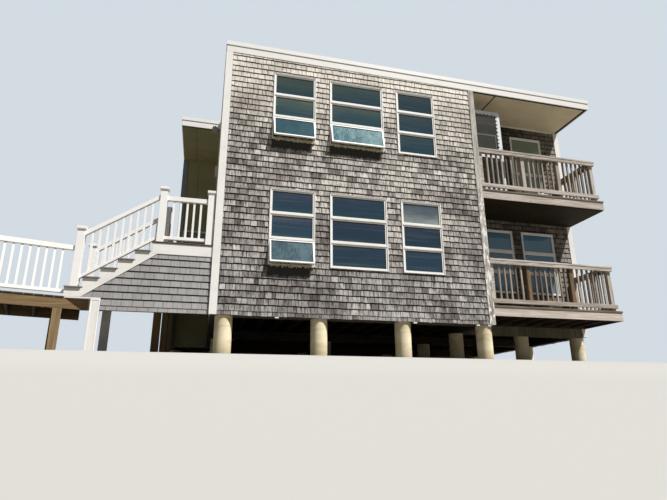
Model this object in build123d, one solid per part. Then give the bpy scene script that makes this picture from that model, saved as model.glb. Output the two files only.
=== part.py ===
"""Two-storey shingled apartment building on concrete piers, with two corner balconies under one flat roof,
a raised side entry with white stairs and railings, and the start of its walkway. Millimetres, +Z up.

Plan directions: +X runs along the front to the right, +Y into the building, Z from the foot of the piers.
The plan is laid out from the front left corner of the sheathing and centred on the origin at the end."""
import os
from math import atan2, cos, degrees, radians, sin
from build123d import *

# Ground plan, measured on the sheathing
main_width = 5675
overall_width = 8890
overall_depth = 9200
recess_depth = 1215
wing_width = 1010
wing_front = 5300
porch_front = 3285
wall_thick = 165

# Heights above the foot of the piers
pier_height = 750
lower_floor_rise = 470
storey_height = 2676
wall_height = 5610
subfloor_thick = 40
floor_joist_height = 230
floor_joist_thick = 45
floor_joist_spacing = 406
ceiling_thick = 230
roof_thick = 240
roof_fall = 55

# Roof edge
fascia_height = 165
fascia_thick = 25
fascia_drop = 20
roof_seat = 0.5
drip_height = 100
drip_proud = 12
soffit_thick = 12
soffit_seat = 0.5
moulding_thick = 22
moulding_height = 30
board_joint = 0.5

# Corner boards
board_thick = 25
white_board_width = 140
weathered_board_width = 140

# Upright boards at the foot of the recess wall
base_board_width = 165
base_board_thick = 22
base_board_gap = 4
base_board_drop = 30
base_board_inset = 150

# Piers and girders
pier_diameter = 320
girder_width = 130
girder_height = 200
front_pier_places = [250, 2030, 3730]
inner_row_places = [3400, 6300]
inner_pier_places = [250, 2900, 5600]

# Windows: a stack of three top-hung sashes in one frame
window_height = 1570
window_sill_rise = 515
narrow_window = 912
wide_window = 1212
lites = 3
frame_face = 22
frame_proud = 30
frame_inside = 75
frame_joint = 0.3
transom_height = 32
sash_face = 30
sash_depth = 40
sash_gap = 0.3
sash_recess = 12
sash_throw = 5
glass_thick = 12
pane_seat = 8
head_cap_height = 10
head_cap_proud = 36
front_window_places = [(1450, narrow_window), (2815, wide_window), (4193, narrow_window)]
recess_window_left = 1025
recess_window_right = 1030
open_angles_upper = [16, 14, 0]
open_angles_lower = [14, 0, 0]
left_upper_places = [2500, 4400]
left_lower_places = [2500]
left_lower_lites = 2
right_window_places = [3400, 6700]
back_window_places = [600, 4000, 7400]
wing_window_place = 7300

# Doors
door_height = 2060
door_frame_face = 40
door_frame_proud = 20
door_threshold = 20
door_leaf_thick = 44
door_leaf_inset = 55
door_gap = 4
entry_door_width = 850
entry_door_centre = -455
landing_depth = 1275
balcony_door_width = 850
balcony_door_centre = 640
screen_door_width = 762
screen_door_height = 2080
screen_door_thick = 32
screen_stile = 70
screen_offset = 178
screen_clear = 30
screen_pane = 5
screen_middle_rise = 874
screen_strap_inset = 300
screen_strap_height = 100

# Balconies
balcony_side_gap = 5
upper_deck_drop = 96
lower_deck_drop = 55
joist_height = 184
joist_thick = 38
joist_spacing = 406
decking_thick = 38
decking_width = 140
decking_gap = 5
decking_over = 12
ceiling_thick = 12
guard_height = 1015
guard_post = 89
guard_inset = 185
upper_guard_bays = [1080.5, 940, 935]
lower_guard_bays = [890.5, 1075, 990]
cap_width = 140
cap_thick = 38
cap_over = 6
sub_rail_height = 76
sub_rail_thick = 38
low_rail_gap = 50
low_rail_height = 89
balcony_baluster = 38
balcony_baluster_pitch = 127
rail_joint = 1

# Entry deck, stairs and walkway
deck_rise = 1290
deck_reach = 1090
deck_board_thick = 25
deck_fascia_height = 208
deck_fascia_thick = 25
deck_joist_height = 184
tread_count = 5
riser_height = 180
tread_going = 264
tread_nosing = 25
tread_thick = 25
stair_width = 1200
stringer_thick = 38
stringer_toe = 251
stringer_heel = 104
foot_board_height = 25
foot_post_width = 155
foot_post_depth = 60
riser_thick = 19
skirt_thick = 60
skirt_left = -1835
skirt_setback = 22
deck_post = 140
walkway_width = 1200
walkway_bay = 1830
walkway_bays = 2
walkway_skew = 16
walkway_rim_beyond = 380

# White railings
newel = 127
newel_height = 1120
newel_inset = 50
newel_cap = 165
newel_cap_height = 45
newel_pyramid = 30
newel_tip = 20
newel_clear = 2
white_guard_top = 920
stair_guard_top = 882
white_rail_width = 70
white_rail_height = 85
white_low_rail_rise = 68
stair_low_rail_rise = 10
white_low_rail_height = 58
white_baluster = 38
white_baluster_pitch = 122

# Fittings
lamp_place = (1480, 3500)
lamp_height = 270
lamp_width = 150
lamp_depth = 95
flood_place = (3120, 5500)
flood_base = 110
flood_base_thick = 30
flood_reach = 150
flood_apart = 62
flood_dip = 60
flood_splay = 25
flood_back_radius = 38
flood_mouth_radius = 64
flood_head = 150
flood_arm = 24
spout_length = 60
spout_diameter = 60

# Levels worked out from the above
wall_low = pier_height
wall_top = wall_low + wall_height
lower_floor_top = wall_low + lower_floor_rise
upper_floor_top = lower_floor_top + storey_height
deck_top = wall_low + deck_rise
walkway_top = deck_top - riser_height * (tread_count + 1)
balcony_levels = [lower_floor_top - lower_deck_drop, upper_floor_top - upper_deck_drop]
fall_angle = degrees(atan2(roof_fall, overall_width))
recess_window_places = [main_width + recess_window_left, overall_width - recess_window_right]
big = 4 * overall_width

parts = {}


def box(x0, x1, y0, y1, z0, z1):
    """A box given by its two corners."""
    return Pos((x0 + x1) / 2, (y0 + y1) / 2, (z0 + z1) / 2) * Box(x1 - x0, y1 - y0, z1 - z0)


def prism(points, z0, z1):
    """A flat outline in plan, raised from z0 to z1."""
    return extrude(Pos(0, 0, z0) * Polygon(*points, align=None), amount=z1 - z0, dir=(0, 0, 1))


def side_prism(points, y0, y1):
    """An outline of (x, z) points, thick from y0 to y1."""
    face = make_face(Polyline(*[(x, y0, z) for x, z in points], close=True))
    return extrude(face, amount=y1 - y0, dir=(0, 1, 0))


def pitched(shape):
    """Tips a level roof piece so that it falls to the right."""
    return Pos(0, 0, wall_top) * Rot(0, fall_angle, 0) * Pos(0, 0, -wall_top) * shape


def solids_of(shapes):
    """One group of solids that stay separate."""
    found = []
    for shape in shapes:
        found.extend(shape.solids())
    return Compound(children=found)


def evenly(start, end, pitch):
    """Centres of the bars between two posts, with equal gaps near the pitch."""
    count = max(1, round((end - start) / pitch) - 1)
    step = (end - start) / (count + 1)
    return [start + step * (i + 1) for i in range(count)]


# Where a piece made for the front wall goes on the other walls
on_front = Pos(0, 0, 0)
on_recess = Pos(0, recess_depth, 0)
on_left = Rot(0, 0, -90)
on_right = Pos(overall_width, 0, 0) * Rot(0, 0, 90)
on_back = Pos(0, overall_depth, 0) * Rot(0, 0, 180)
on_recess_side = Pos(main_width, 0, 0) * Rot(0, 0, 90)
on_entry = Pos(0, wing_front, 0)
on_wing = Pos(-wing_width, 0, 0) * Rot(0, 0, -90)


def window_list():
    """Every window: its wall, centre along the wall, width, number of sashes, storey and opening angle."""
    found = []
    for storey, angles in ((0, open_angles_lower), (1, open_angles_upper)):
        for (centre, width), angle in zip(front_window_places, angles):
            found.append((on_front, centre, width, lites, storey, angle))
        for centre in recess_window_places:
            found.append((on_recess, centre, narrow_window, lites, storey, 0))
        for centre in right_window_places:
            found.append((on_right, centre, narrow_window, lites, storey, 0))
        for centre in back_window_places:
            found.append((on_back, -centre, narrow_window, lites, storey, 0))
        found.append((on_wing, -wing_window_place, narrow_window, lites, storey, 0))
    for centre in left_upper_places:
        found.append((on_left, -centre, narrow_window, lites, 1, 0))
    for centre in left_lower_places:
        found.append((on_left, -centre, narrow_window, left_lower_lites, 0, 0))
    return found


lite_pitch = (window_height - 2 * frame_face + transom_height) / lites


def stack_height(count):
    """Height of a window frame with this many sashes, each as tall as in the full stack."""
    return count * lite_pitch - transom_height + 2 * frame_face


def window_bottom(count, storey):
    """Bottom of the frame; all heads of a storey line up."""
    head = lower_floor_top + storey * storey_height + window_sill_rise + window_height
    return head - stack_height(count)


def window_hole(wall, centre, width, count, storey):
    z = window_bottom(count, storey)
    return wall * box(centre - width / 2, centre + width / 2, -wall_thick, 2 * wall_thick,
                      z, z + stack_height(count))


def window_frame(width, count):
    """Two jambs with the sill rail, transoms and head rail between them, standing on z = 0, sheathing at y = 0."""
    high = stack_height(count)
    half = width / 2
    inner = half - frame_face
    bars = [box(-half, -inner, -frame_proud, frame_inside, 0, high),
            box(inner, half, -frame_proud, frame_inside, 0, high)]
    levels = [(0, frame_face), (high - frame_face, high)]
    for i in range(1, count):
        low = frame_face + i * lite_pitch - transom_height
        levels.append((low, low + transom_height))
    for low, top in levels:
        bars.append(box(-inner + frame_joint, inner - frame_joint, -frame_proud, frame_inside, low, top))
    return bars


def sash_and_pane(width, row, angle):
    """One top-hung sash and its glass, swung out about its top edge, which the stays carry a little outward."""
    half = width / 2 - frame_face - sash_gap
    low = frame_face + row * lite_pitch + sash_gap
    high = low + lite_pitch - transom_height - 2 * sash_gap
    front = -frame_proud + sash_recess
    ring = box(-half, half, front, front + sash_depth, low, high)
    ring -= box(-half + sash_face, half - sash_face, front - 1, front + sash_depth + 1,
                low + sash_face, high - sash_face)
    middle = front + sash_depth / 2
    rebate = box(-half + sash_face - pane_seat, half - sash_face + pane_seat,
                 middle - glass_thick / 2, middle + glass_thick / 2,
                 low + sash_face - pane_seat, high - sash_face + pane_seat)
    out = sash_throw if angle else 0
    hinge = Pos(0, front - out, high) * Rot(-angle, 0, 0) * Pos(0, -front, -high)
    return hinge * (ring - rebate), hinge * rebate


def head_cap(width, count):
    """Narrow cap over the head of the frame, which sheds the water that runs down the shingles."""
    high = stack_height(count)
    return box(-width / 2, width / 2, -head_cap_proud, 0, high, high + head_cap_height)


def make_walls():
    """Wall slabs with their window and door holes, cut to the slope of the roof."""
    top = wall_top + roof_fall
    above_roof = pitched(box(-big, big, -big, big, wall_top, wall_top + big))
    t = wall_thick
    slabs = {
        "front_wall": box(0, main_width, 0, t, wall_low, top),
        "left_wall": box(0, t, t, wing_front, wall_low, top),
        "entry_wall": box(-wing_width, t, wing_front, wing_front + t, wall_low, top),
        "wing_wall": box(-wing_width, -wing_width + t, wing_front + t, overall_depth, wall_low, top),
        "back_wall": box(-wing_width + t, overall_width, overall_depth - t, overall_depth, wall_low, top),
        "right_wall": box(overall_width - t, overall_width, recess_depth + t, overall_depth - t, wall_low, top),
        "recess_wall": box(main_width, overall_width, recess_depth, recess_depth + t, wall_low, top),
        "recess_side_wall": box(main_width - t, main_width, t, recess_depth + t, wall_low, top),
    }
    homes = {"front_wall": on_front, "recess_wall": on_recess, "right_wall": on_right,
             "back_wall": on_back, "left_wall": on_left, "wing_wall": on_wing}
    for name, slab in slabs.items():
        slab -= above_roof
        for wall, centre, width, count, storey, angle in window_list():
            if homes.get(name) is wall:
                slab -= window_hole(wall, centre, width, count, storey)
        if name == "recess_side_wall":
            for level in (lower_floor_top, upper_floor_top):
                slab -= on_recess_side * door_hole(balcony_door_centre, balcony_door_width, level)
        if name == "entry_wall":
            slab -= on_entry * door_hole(entry_door_centre, entry_door_width, deck_top)
        parts[name] = slab


def door_hole(centre, width, level):
    return box(centre - width / 2, centre + width / 2, -wall_thick, 2 * wall_thick, level, level + door_height)


def make_windows():
    """Frames, sashes, glass and head caps of each storey."""
    for storey, name in ((0, "lower"), (1, "upper")):
        frames, sashes, panes, caps = [], [], [], []
        for wall, centre, width, count, level, angle in window_list():
            if level != storey:
                continue
            place = wall * Pos(centre, 0, window_bottom(count, storey))
            frames += [place * bar for bar in window_frame(width, count)]
            caps.append(place * head_cap(width, count))
            for row in range(count):
                sash, pane = sash_and_pane(width, row, angle if row == 0 else 0)
                sashes.append(place * sash)
                panes.append(place * pane)
        parts[name + "_window_frames"] = solids_of(frames)
        parts[name + "_window_sashes"] = solids_of(sashes)
        parts[name + "_window_glass"] = solids_of(panes)
        parts[name + "_window_trim"] = solids_of(caps)


def inner_outline():
    t = wall_thick
    return [(t, t), (main_width - t, t), (main_width - t, recess_depth + t),
            (overall_width - t, recess_depth + t), (overall_width - t, overall_depth - t),
            (-wing_width + t, overall_depth - t), (-wing_width + t, wing_front + t), (t, wing_front + t)]


def roof_outline(grow):
    """Outer edge of the roof in plan, moved out by grow."""
    left, right = -grow, overall_width + grow
    front, back = -grow, overall_depth + grow
    return [(left, front), (right, front), (right, back), (-wing_width - grow, back),
            (-wing_width - grow, porch_front - grow), (left, porch_front - grow)]


def make_floors():
    """Lower floor boards on joists that run front to back, the upper floor, and the landing at the entry door."""
    low = lower_floor_top - subfloor_thick
    parts["lower_floor"] = prism(inner_outline(), low, lower_floor_top)
    t, half = wall_thick, floor_joist_thick / 2
    joists = []
    for x in evenly(-wing_width + t, overall_width - t, floor_joist_spacing):
        front = t if x < main_width - t else recess_depth + t
        if x < t:
            front = wing_front + t
        joists.append(box(x - half, x + half, front, overall_depth - t, low - floor_joist_height, low))
    parts["floor_joists"] = solids_of(joists)
    parts["upper_floor"] = prism(inner_outline(), upper_floor_top - subfloor_thick - ceiling_thick, upper_floor_top)
    parts["entry_landing"] = box(-wing_width + t, t, wing_front + t, wing_front + t + landing_depth,
                                 deck_top - subfloor_thick - ceiling_thick, deck_top)


def edge_boards(thick, low, top):
    """One board along each side of the roof; each starts behind the end of the one before it."""
    inner, outer = roof_outline(roof_seat), roof_outline(thick)
    boards = []
    for i, (xa, ya) in enumerate(outer):
        xb, yb = outer[(i + 1) % len(outer)]
        xc, yc = inner[i]
        xd, yd = inner[(i + 1) % len(inner)]
        boards.append(prism([(xa, ya), (xb, yb), (xd, yd), (xc, yc)], low, top))
    cuts = [Pos(xa, ya, low) * Rot(0, 0, degrees(atan2(yc - ya, xc - xa)))
            * box(-thick, 3 * thick, -board_joint / 2, board_joint / 2, -thick, top - low + thick)
            for (xa, ya), (xc, yc) in zip(outer, inner)]
    for i, board in enumerate(boards):
        boards[i] = board - cuts[i] - cuts[(i + 1) % len(cuts)]
    return solids_of(boards)


def make_roof():
    """Roof slab, its fascia and drip edge, and the soffits under its two overhangs."""
    parts["roof_deck"] = pitched(prism(roof_outline(0), wall_top, wall_top + roof_thick))
    low = wall_top - fascia_drop
    parts["roof_fascia"] = pitched(edge_boards(fascia_thick, low, low + fascia_height))
    parts["drip_edge"] = pitched(edge_boards(fascia_thick + drip_proud, low + fascia_height,
                                             low + fascia_height + drip_height))
    notch = box(main_width + soffit_seat, overall_width, 0, recess_depth - soffit_seat,
                wall_top - soffit_thick, wall_top)
    porch = box(-wing_width, -soffit_seat, porch_front, wing_front - soffit_seat,
                wall_top - soffit_thick, wall_top)
    parts["soffits"] = pitched(solids_of([notch, porch]))
    m, under = moulding_thick, wall_top - soffit_thick
    parts["soffit_moulding"] = pitched(solids_of([
        box(main_width + board_thick + m, overall_width - white_board_width, recess_depth - m - soffit_seat,
            recess_depth - soffit_seat, under - moulding_height, under - soffit_seat),
        box(-wing_width + white_board_width, -m - soffit_seat, wing_front - m - soffit_seat,
            wing_front - soffit_seat, under - moulding_height, under - soffit_seat)]))
    spout = Pos(overall_width + fascia_thick + spout_length / 2, spout_diameter, low + fascia_height / 2)
    parts["roof_spout"] = pitched(spout * Rot(0, 90, 0) * Cylinder(spout_diameter / 2, spout_length))


def corner_board(x0, x1, y0, y1):
    """One board from the foot of the walls to just under the fascia, whose lower edge falls to the right."""
    top = wall_top - fascia_drop - max(x0, x1) * roof_fall / overall_width - roof_seat
    return box(x0, x1, y0, y1, wall_low, top)


def make_corner_boards():
    """White boards at the plain corners and weathered ones at the balcony corner."""
    b, w = board_thick, white_board_width
    right, back, wing = overall_width, overall_depth, -wing_width
    front_left = corner_board(-b, w - b, -b, 0) + corner_board(-b, 0, 0, w - b)
    recess_right = (corner_board(right - w + b, right + b, recess_depth - b, recess_depth)
                    + corner_board(right, right + b, recess_depth, recess_depth + w - b))
    for level in balcony_levels:
        recess_right -= box(main_width, right - balcony_side_gap + decking_over, 0, recess_depth,
                            level - decking_thick - joist_height, level)
    back_right = (corner_board(right, right + b, back - w + b, back + b)
                  + corner_board(right - w + b, right, back, back + b))
    back_left = (corner_board(wing - b, wing, back - w + b, back + b)
                 + corner_board(wing, wing + w - b, back, back + b))
    entry_left = (corner_board(wing - b, wing, wing_front - b, wing_front + w - b)
                  + corner_board(wing, wing + w - b, wing_front - b, wing_front))
    parts["white_corner_boards"] = solids_of([front_left, recess_right, back_right, back_left, entry_left])
    v = weathered_board_width
    parts["weathered_corner_board"] = (corner_board(main_width - v + b, main_width + b, -b, 0)
                                       + corner_board(main_width, main_width + b, 0, v - b))


def make_base_boards():
    """Upright boards side by side over the foot of the recess wall, under the lower balcony."""
    left = main_width + base_board_inset
    right = overall_width - base_board_inset
    count = round((right - left + base_board_gap) / (base_board_width + base_board_gap))
    pitch = (right - left + base_board_gap) / count
    top = balcony_levels[0] - decking_thick - joist_height - base_board_gap
    parts["recess_base_boards"] = solids_of([
        box(left + i * pitch, left + (i + 1) * pitch - base_board_gap, recess_depth - base_board_thick, recess_depth,
            wall_low - base_board_drop, top) for i in range(count)])


def make_foundation():
    """Round piers and the girders that lie on them under the lower floor."""
    radius = pier_diameter / 2
    row_front = wall_thick
    row_recess = recess_depth + wall_thick
    row_back = overall_depth - wall_thick
    last = overall_width - wall_thick
    wing = -wing_width + wall_thick
    top = lower_floor_top - subfloor_thick - floor_joist_height
    low = top - girder_height
    spots = [(x, row_front) for x in front_pier_places]
    spots += [(x, row_recess) for x in (main_width - wall_thick, (main_width + last) / 2, last)]
    for y in inner_row_places + [row_back]:
        spots += [(x, y) for x in inner_pier_places + [last]]
        if y > wing_front:
            spots.append((wing, y))
    spots += [(main_width - wall_thick, row_front)]
    parts["piers"] = solids_of([Pos(x, y, low / 2) * Cylinder(radius, low) for x, y in spots])
    left, g = wall_thick, girder_width
    girders = [box(left, main_width - wall_thick, wall_thick, wall_thick + g, low, top),
               box(main_width - wall_thick, last, row_recess, row_recess + g, low, top),
               box(wing, last, row_back - g, row_back, low, top)]
    for y in inner_row_places:
        girders.append(box(wing if y > wing_front else left, last, y - g / 2, y + g / 2, low, top))
    parts["floor_girders"] = solids_of(girders)


def door_frame(centre, width, level):
    """Two jambs with the head and the threshold between them."""
    half, top = width / 2, level + door_height
    inner = half - door_frame_face
    front, back = -door_frame_proud, wall_thick
    return [box(centre - half, centre - inner, front, back, level, top),
            box(centre + inner, centre + half, front, back, level, top),
            box(centre - inner + frame_joint, centre + inner - frame_joint, front, back, top - door_frame_face, top),
            box(centre - inner + frame_joint, centre + inner - frame_joint, front, back,
                level, level + door_threshold)]


def door_leaf(centre, width, level):
    half = width / 2 - door_frame_face - door_gap
    seat = door_leaf_inset
    return box(centre - half, centre + half, seat, seat + door_leaf_thick,
               level + door_threshold, level + door_height - door_frame_face - door_gap)


def make_doors():
    """Entry door, two balcony doors, their frames, and the storm door that stands open upstairs."""
    levels = (lower_floor_top, upper_floor_top)
    frames = [on_recess_side * bar for level in levels
              for bar in door_frame(balcony_door_centre, balcony_door_width, level)]
    frames += [on_entry * bar for bar in door_frame(entry_door_centre, entry_door_width, deck_top)]
    leaves = [on_recess_side * door_leaf(balcony_door_centre, balcony_door_width, level) for level in levels]
    leaves.append(on_entry * door_leaf(entry_door_centre, entry_door_width, deck_top))
    parts["door_frames"] = solids_of(frames)
    parts["doors"] = solids_of(leaves)
    left = main_width + screen_clear
    low = upper_floor_top - screen_clear
    leaf = box(left, left + screen_door_width, screen_offset, screen_offset + screen_door_thick,
               low, low + screen_door_height)
    middle = low + screen_middle_rise
    openings = [(low + 2 * screen_stile, middle - screen_stile / 2),
                (middle + screen_stile / 2, low + screen_door_height - screen_stile)]
    panes = []
    for z0, z1 in openings:
        leaf -= box(left + screen_stile, left + screen_door_width - screen_stile,
                    screen_offset - 1, screen_offset + screen_door_thick + 1, z0, z1)
        centre = screen_offset + screen_door_thick / 2
        panes.append(box(left + screen_stile, left + screen_door_width - screen_stile,
                         centre - screen_pane / 2, centre + screen_pane / 2, z0, z1))
    for z in (low + screen_strap_inset, low + screen_door_height - screen_strap_inset - screen_strap_height):
        leaf += box(main_width, left, screen_offset, screen_offset + screen_door_thick, z, z + screen_strap_height)
    parts["storm_door"] = leaf
    parts["storm_door_panes"] = solids_of(panes)


def guard_rails(start, end, deck, face):
    """Top and low rail on edge, nailed to the outer face of the posts; they run along X, face is that plane's Y."""
    top = deck + guard_height - cap_thick
    low = deck + low_rail_gap
    return [box(start, end, face - sub_rail_thick, face, top - sub_rail_height, top),
            box(start, end, face - sub_rail_thick, face, low, low + low_rail_height)]


def guard_balusters(start, end, deck, face):
    """Balusters between two posts, nailed to the inner face of the rails and up to the cap."""
    return [box(x - balcony_baluster / 2, x + balcony_baluster / 2, face, face + balcony_baluster,
                deck + low_rail_gap, deck + guard_height - cap_thick)
            for x in evenly(start, end, balcony_baluster_pitch)]


def make_balcony(name, deck_top_level, bays):
    """Joists and rims, decking boards, posts with rails, and balusters of one balcony."""
    left, right = main_width + board_thick, overall_width - balcony_side_gap
    front, back = 0, recess_depth
    joist_top = deck_top_level - decking_thick
    low = joist_top - joist_height
    j = joist_thick
    frame = [box(left, right, front, front + j, low, joist_top),
             box(left, right, back - j, back, low, joist_top)]
    seat = j + board_joint
    for x in [left + j / 2] + evenly(left, right, joist_spacing) + [right - j / 2]:
        frame.append(box(x - j / 2, x + j / 2, front + seat, back - seat, low, joist_top))
    parts[name + "_balcony_frame"] = solids_of(frame)
    boards = []
    count = round((back - front + decking_over) / (decking_width + decking_gap))
    pitch = (back - front + decking_over + decking_gap) / count
    for i in range(count):
        y0 = front - decking_over + i * pitch
        boards.append(box(left, right + decking_over, y0, y0 + pitch - decking_gap, joist_top, deck_top_level))
    half = guard_post / 2
    line = front + decking_over + half
    side_line = right - guard_inset
    last = back - board_thick
    first = left + half
    reach = (side_line - first) / sum(bays)
    posts = [(first + reach * sum(bays[:i]), line) for i in range(len(bays) + 1)]
    posts.append((side_line, last - half))
    post_top = deck_top_level + guard_height - cap_thick
    railing = [box(x - half, x + half, y - half, y + half, deck_top_level, post_top) for x, y in posts]
    face, side_face = line - half, side_line + half
    bars = []
    for (xa, ya), (xb, yb) in zip(posts[:-2], posts[1:-1]):
        bars += guard_balusters(xa + half, xb - half, deck_top_level, face)
    railing += guard_rails(left, side_face + sub_rail_thick, deck_top_level, face)
    turn = Pos(side_line, 0, 0) * Rot(0, 0, 90)
    railing += [turn * r for r in guard_rails(face + rail_joint, last, deck_top_level, -half)]
    bars += [turn * b for b in guard_balusters(line + half, last - guard_post, deck_top_level, -half)]
    edge, side_edge = face - sub_rail_thick - cap_over, side_face + sub_rail_thick + cap_over
    railing.append(box(left, side_edge, edge, edge + cap_width, post_top, post_top + cap_thick))
    railing.append(box(side_edge - cap_width, side_edge, edge + cap_width + rail_joint, last,
                       post_top, post_top + cap_thick))
    parts[name + "_balcony_decking"] = solids_of(boards)
    parts[name + "_balcony_railing"] = solids_of(railing)
    parts[name + "_balcony_balusters"] = solids_of(bars)


def make_balcony_ceiling():
    """Plywood under the upper balcony's joists, behind its front rim."""
    low = balcony_levels[1] - decking_thick - joist_height
    parts["upper_balcony_ceiling"] = box(main_width + board_thick + board_joint, overall_width - balcony_side_gap,
                                         joist_thick, recess_depth - board_thick - board_joint,
                                         low - ceiling_thick, low)


def newel_post(x, y, foot):
    """White post sleeve with a flat cap and a low pyramid."""
    half = newel / 2
    top = foot + newel_height - newel_cap_height - newel_pyramid
    body = box(x - half, x + half, y - half, y + half, foot, top)
    cap = Pos(x, y, top + newel_cap_height / 2) * Box(newel_cap, newel_cap, newel_cap_height)
    base = Pos(x, y, top + newel_cap_height) * Rectangle(newel_cap, newel_cap)
    tip = Pos(x, y, top + newel_cap_height + newel_pyramid) * Rectangle(newel_tip, newel_tip)
    return body + cap + loft([base, tip])


def level_guard(start, end, floor):
    """Top rail, low rail and balusters of a level white railing along X, centred on y = 0."""
    half = white_rail_width / 2
    top = floor + white_guard_top
    low = floor + white_low_rail_rise
    rails = [box(start, end, -half, half, top - white_rail_height, top),
             box(start, end, -half, half, low, low + white_low_rail_height)]
    bars = [Pos(x, 0, (low + white_low_rail_height + top - white_rail_height) / 2)
            * Box(white_baluster, white_baluster, top - white_rail_height - low - white_low_rail_height)
            for x in evenly(start, end, white_baluster_pitch)]
    return rails, bars


def stair_guard(start, end, nosing, nosing_height):
    """White railing down the flight: rails lie along the line of the nosings, balusters stay upright."""
    half = white_rail_width / 2
    slope = riser_height / tread_going

    def line(x):
        return nosing_height + slope * (x - nosing)

    def rail(height, thick):
        return side_prism([(start, line(start) + height), (end, line(end) + height),
                           (end, line(end) + height + thick), (start, line(start) + height + thick)], -half, half)
    low = stair_low_rail_rise
    top = stair_guard_top - white_rail_height
    rails = [rail(top, white_rail_height), rail(low, white_low_rail_height)]
    bars = []
    for x in evenly(start, end, white_baluster_pitch):
        b = white_baluster / 2
        z0, z1 = line(x) + low + white_low_rail_height, line(x) + top
        bars.append(side_prism([(x - b, z0 - slope * b), (x + b, z0 + slope * b),
                                (x + b, z1 + slope * b), (x - b, z1 - slope * b)], -b, b))
    return rails, bars


def make_entry():
    """Deck along the left wall, five treads, shingled skirt, walkway and their white railings."""
    deck_left = -deck_reach
    deck_back = wing_front
    board_low = deck_top - deck_board_thick
    joist_low = board_low - deck_joist_height
    f = deck_fascia_thick
    side = -board_thick
    newel_half = newel / 2

    j = joist_thick
    rim, ledger = deck_left + f, side - j
    frame = [box(rim + j + board_joint, ledger - board_joint, y - j / 2, y + j / 2, joist_low, board_low)
             for y in [f + j / 2] + evenly(f, deck_back - f - j, joist_spacing)]
    frame.append(box(rim, rim + j, f, deck_back - board_thick, joist_low, board_low))
    frame.append(box(ledger, side, f, deck_back - board_thick, joist_low, board_low))
    flight = tread_count * tread_going
    stair_left = deck_left - flight
    stair_back = stair_width
    post_half = deck_post / 2
    posts = []
    for y in (stair_back, (stair_back + deck_back) / 2, deck_back - 2 * deck_post):
        posts.append(box(deck_left + f, deck_left + f + deck_post, y, y + deck_post, 0, joist_low))
    walk_frame, walk_boards, walk_rails, walk_bars, walk_newels = make_walkway(stair_left)
    parts["deck_frame"] = solids_of(frame + posts + walk_frame)

    fascia_low = board_low - deck_fascia_height
    parts["deck_fascia"] = solids_of([
        box(deck_left, side, 0, f, fascia_low, board_low),
        box(deck_left, deck_left + f, f + board_joint, deck_back - board_thick, fascia_low, board_low)])

    boards = []
    count = round(deck_back / (decking_width + decking_gap))
    pitch = (deck_back - board_thick + decking_over) / count
    for i in range(count):
        y0 = -decking_over + i * pitch
        boards.append(box(deck_left - decking_over, side, y0, y0 + pitch - decking_gap, board_low, deck_top))
    parts["deck_boards"] = solids_of(boards + walk_boards)

    heel, toe = deck_left + stringer_heel, stair_left + stringer_toe
    stringers = []
    for y0 in (0, (stair_back - stringer_thick) / 2, stair_back - stringer_thick):
        outline = [(stair_left, walkway_top)]
        for i in range(tread_count):
            x = stair_left + i * tread_going
            z = walkway_top + (i + 1) * riser_height - tread_thick
            outline += [(x, z), (x + tread_going, z)]
        outline += [(deck_left, fascia_low), (heel, fascia_low), (toe, walkway_top)]
        stringers.append(side_prism(outline, y0, y0 + stringer_thick))
    parts["stair_stringers"] = solids_of(stringers)
    treads, risers = [], []
    for i in range(tread_count):
        x = stair_left + i * tread_going
        z = walkway_top + (i + 1) * riser_height
        treads.append(box(x - tread_nosing, x + tread_going - riser_thick, -tread_nosing, stair_back + tread_nosing,
                          z - tread_thick, z))
    for i in range(tread_count):
        x = stair_left + i * tread_going
        z = walkway_top + i * riser_height
        risers.append(box(x - riser_thick, x, 0, stair_back, z, z + riser_height - tread_thick))
    parts["stair_treads"] = solids_of(treads)
    parts["stair_risers"] = solids_of(risers)

    low = wall_low
    skirt = side_prism([(skirt_left, low), (side, low), (side, fascia_low), (heel, fascia_low),
                        (toe, walkway_top), (skirt_left, walkway_top)],
                       skirt_setback, skirt_setback + skirt_thick)
    parts["entry_skirt"] = skirt
    foot_low = walkway_top - foot_board_height
    feet = []
    for y in (0, stair_back - foot_post_depth):
        feet.append(box(stair_left, skirt_left - board_joint, y, y + foot_post_depth, foot_low, walkway_top))
        feet.append(box(skirt_left - foot_post_width, skirt_left - board_joint, y, y + foot_post_depth, 0, foot_low))
    parts["stair_foot_posts"] = solids_of([feet[0] + feet[1], feet[2] + feet[3]])

    line = newel_half + f / 2
    foot_1 = walkway_top + riser_height
    x_1 = stair_left + newel_inset + newel_half
    x_2 = deck_left + newel_inset + newel_half
    x_3 = side - newel_cap / 2 - newel_clear
    y_3 = deck_back - board_thick - newel_cap / 2 - newel_clear
    back_line = stair_back - line
    newels = [newel_post(x_1, line, foot_1), newel_post(x_2, line, deck_top), newel_post(x_3, line, deck_top),
              newel_post(x_1, back_line, foot_1), newel_post(x_2, back_line, deck_top),
              newel_post(x_2, y_3, deck_top)]
    rails, bars = [], []
    for y in (line, back_line):
        r, b = stair_guard(x_1 + newel_half, x_2 - newel_half, stair_left - tread_nosing, foot_1)
        rails += [Pos(0, y, 0) * piece for piece in r]
        bars += [Pos(0, y, 0) * piece for piece in b]
    r, b = level_guard(x_2 + newel_half, x_3 - newel_half, deck_top)
    rails += [Pos(0, line, 0) * piece for piece in r]
    bars += [Pos(0, line, 0) * piece for piece in b]
    side_turn = Pos(x_2, 0, 0) * Rot(0, 0, 90)
    r, b = level_guard(back_line + newel_half, y_3 - newel_half, deck_top)
    rails += [side_turn * piece for piece in r]
    bars += [side_turn * piece for piece in b]
    parts["white_newels"] = solids_of(newels + walk_newels)
    parts["white_rails"] = solids_of(rails + walk_rails)
    parts["white_balusters"] = solids_of(bars + walk_bars)


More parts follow.
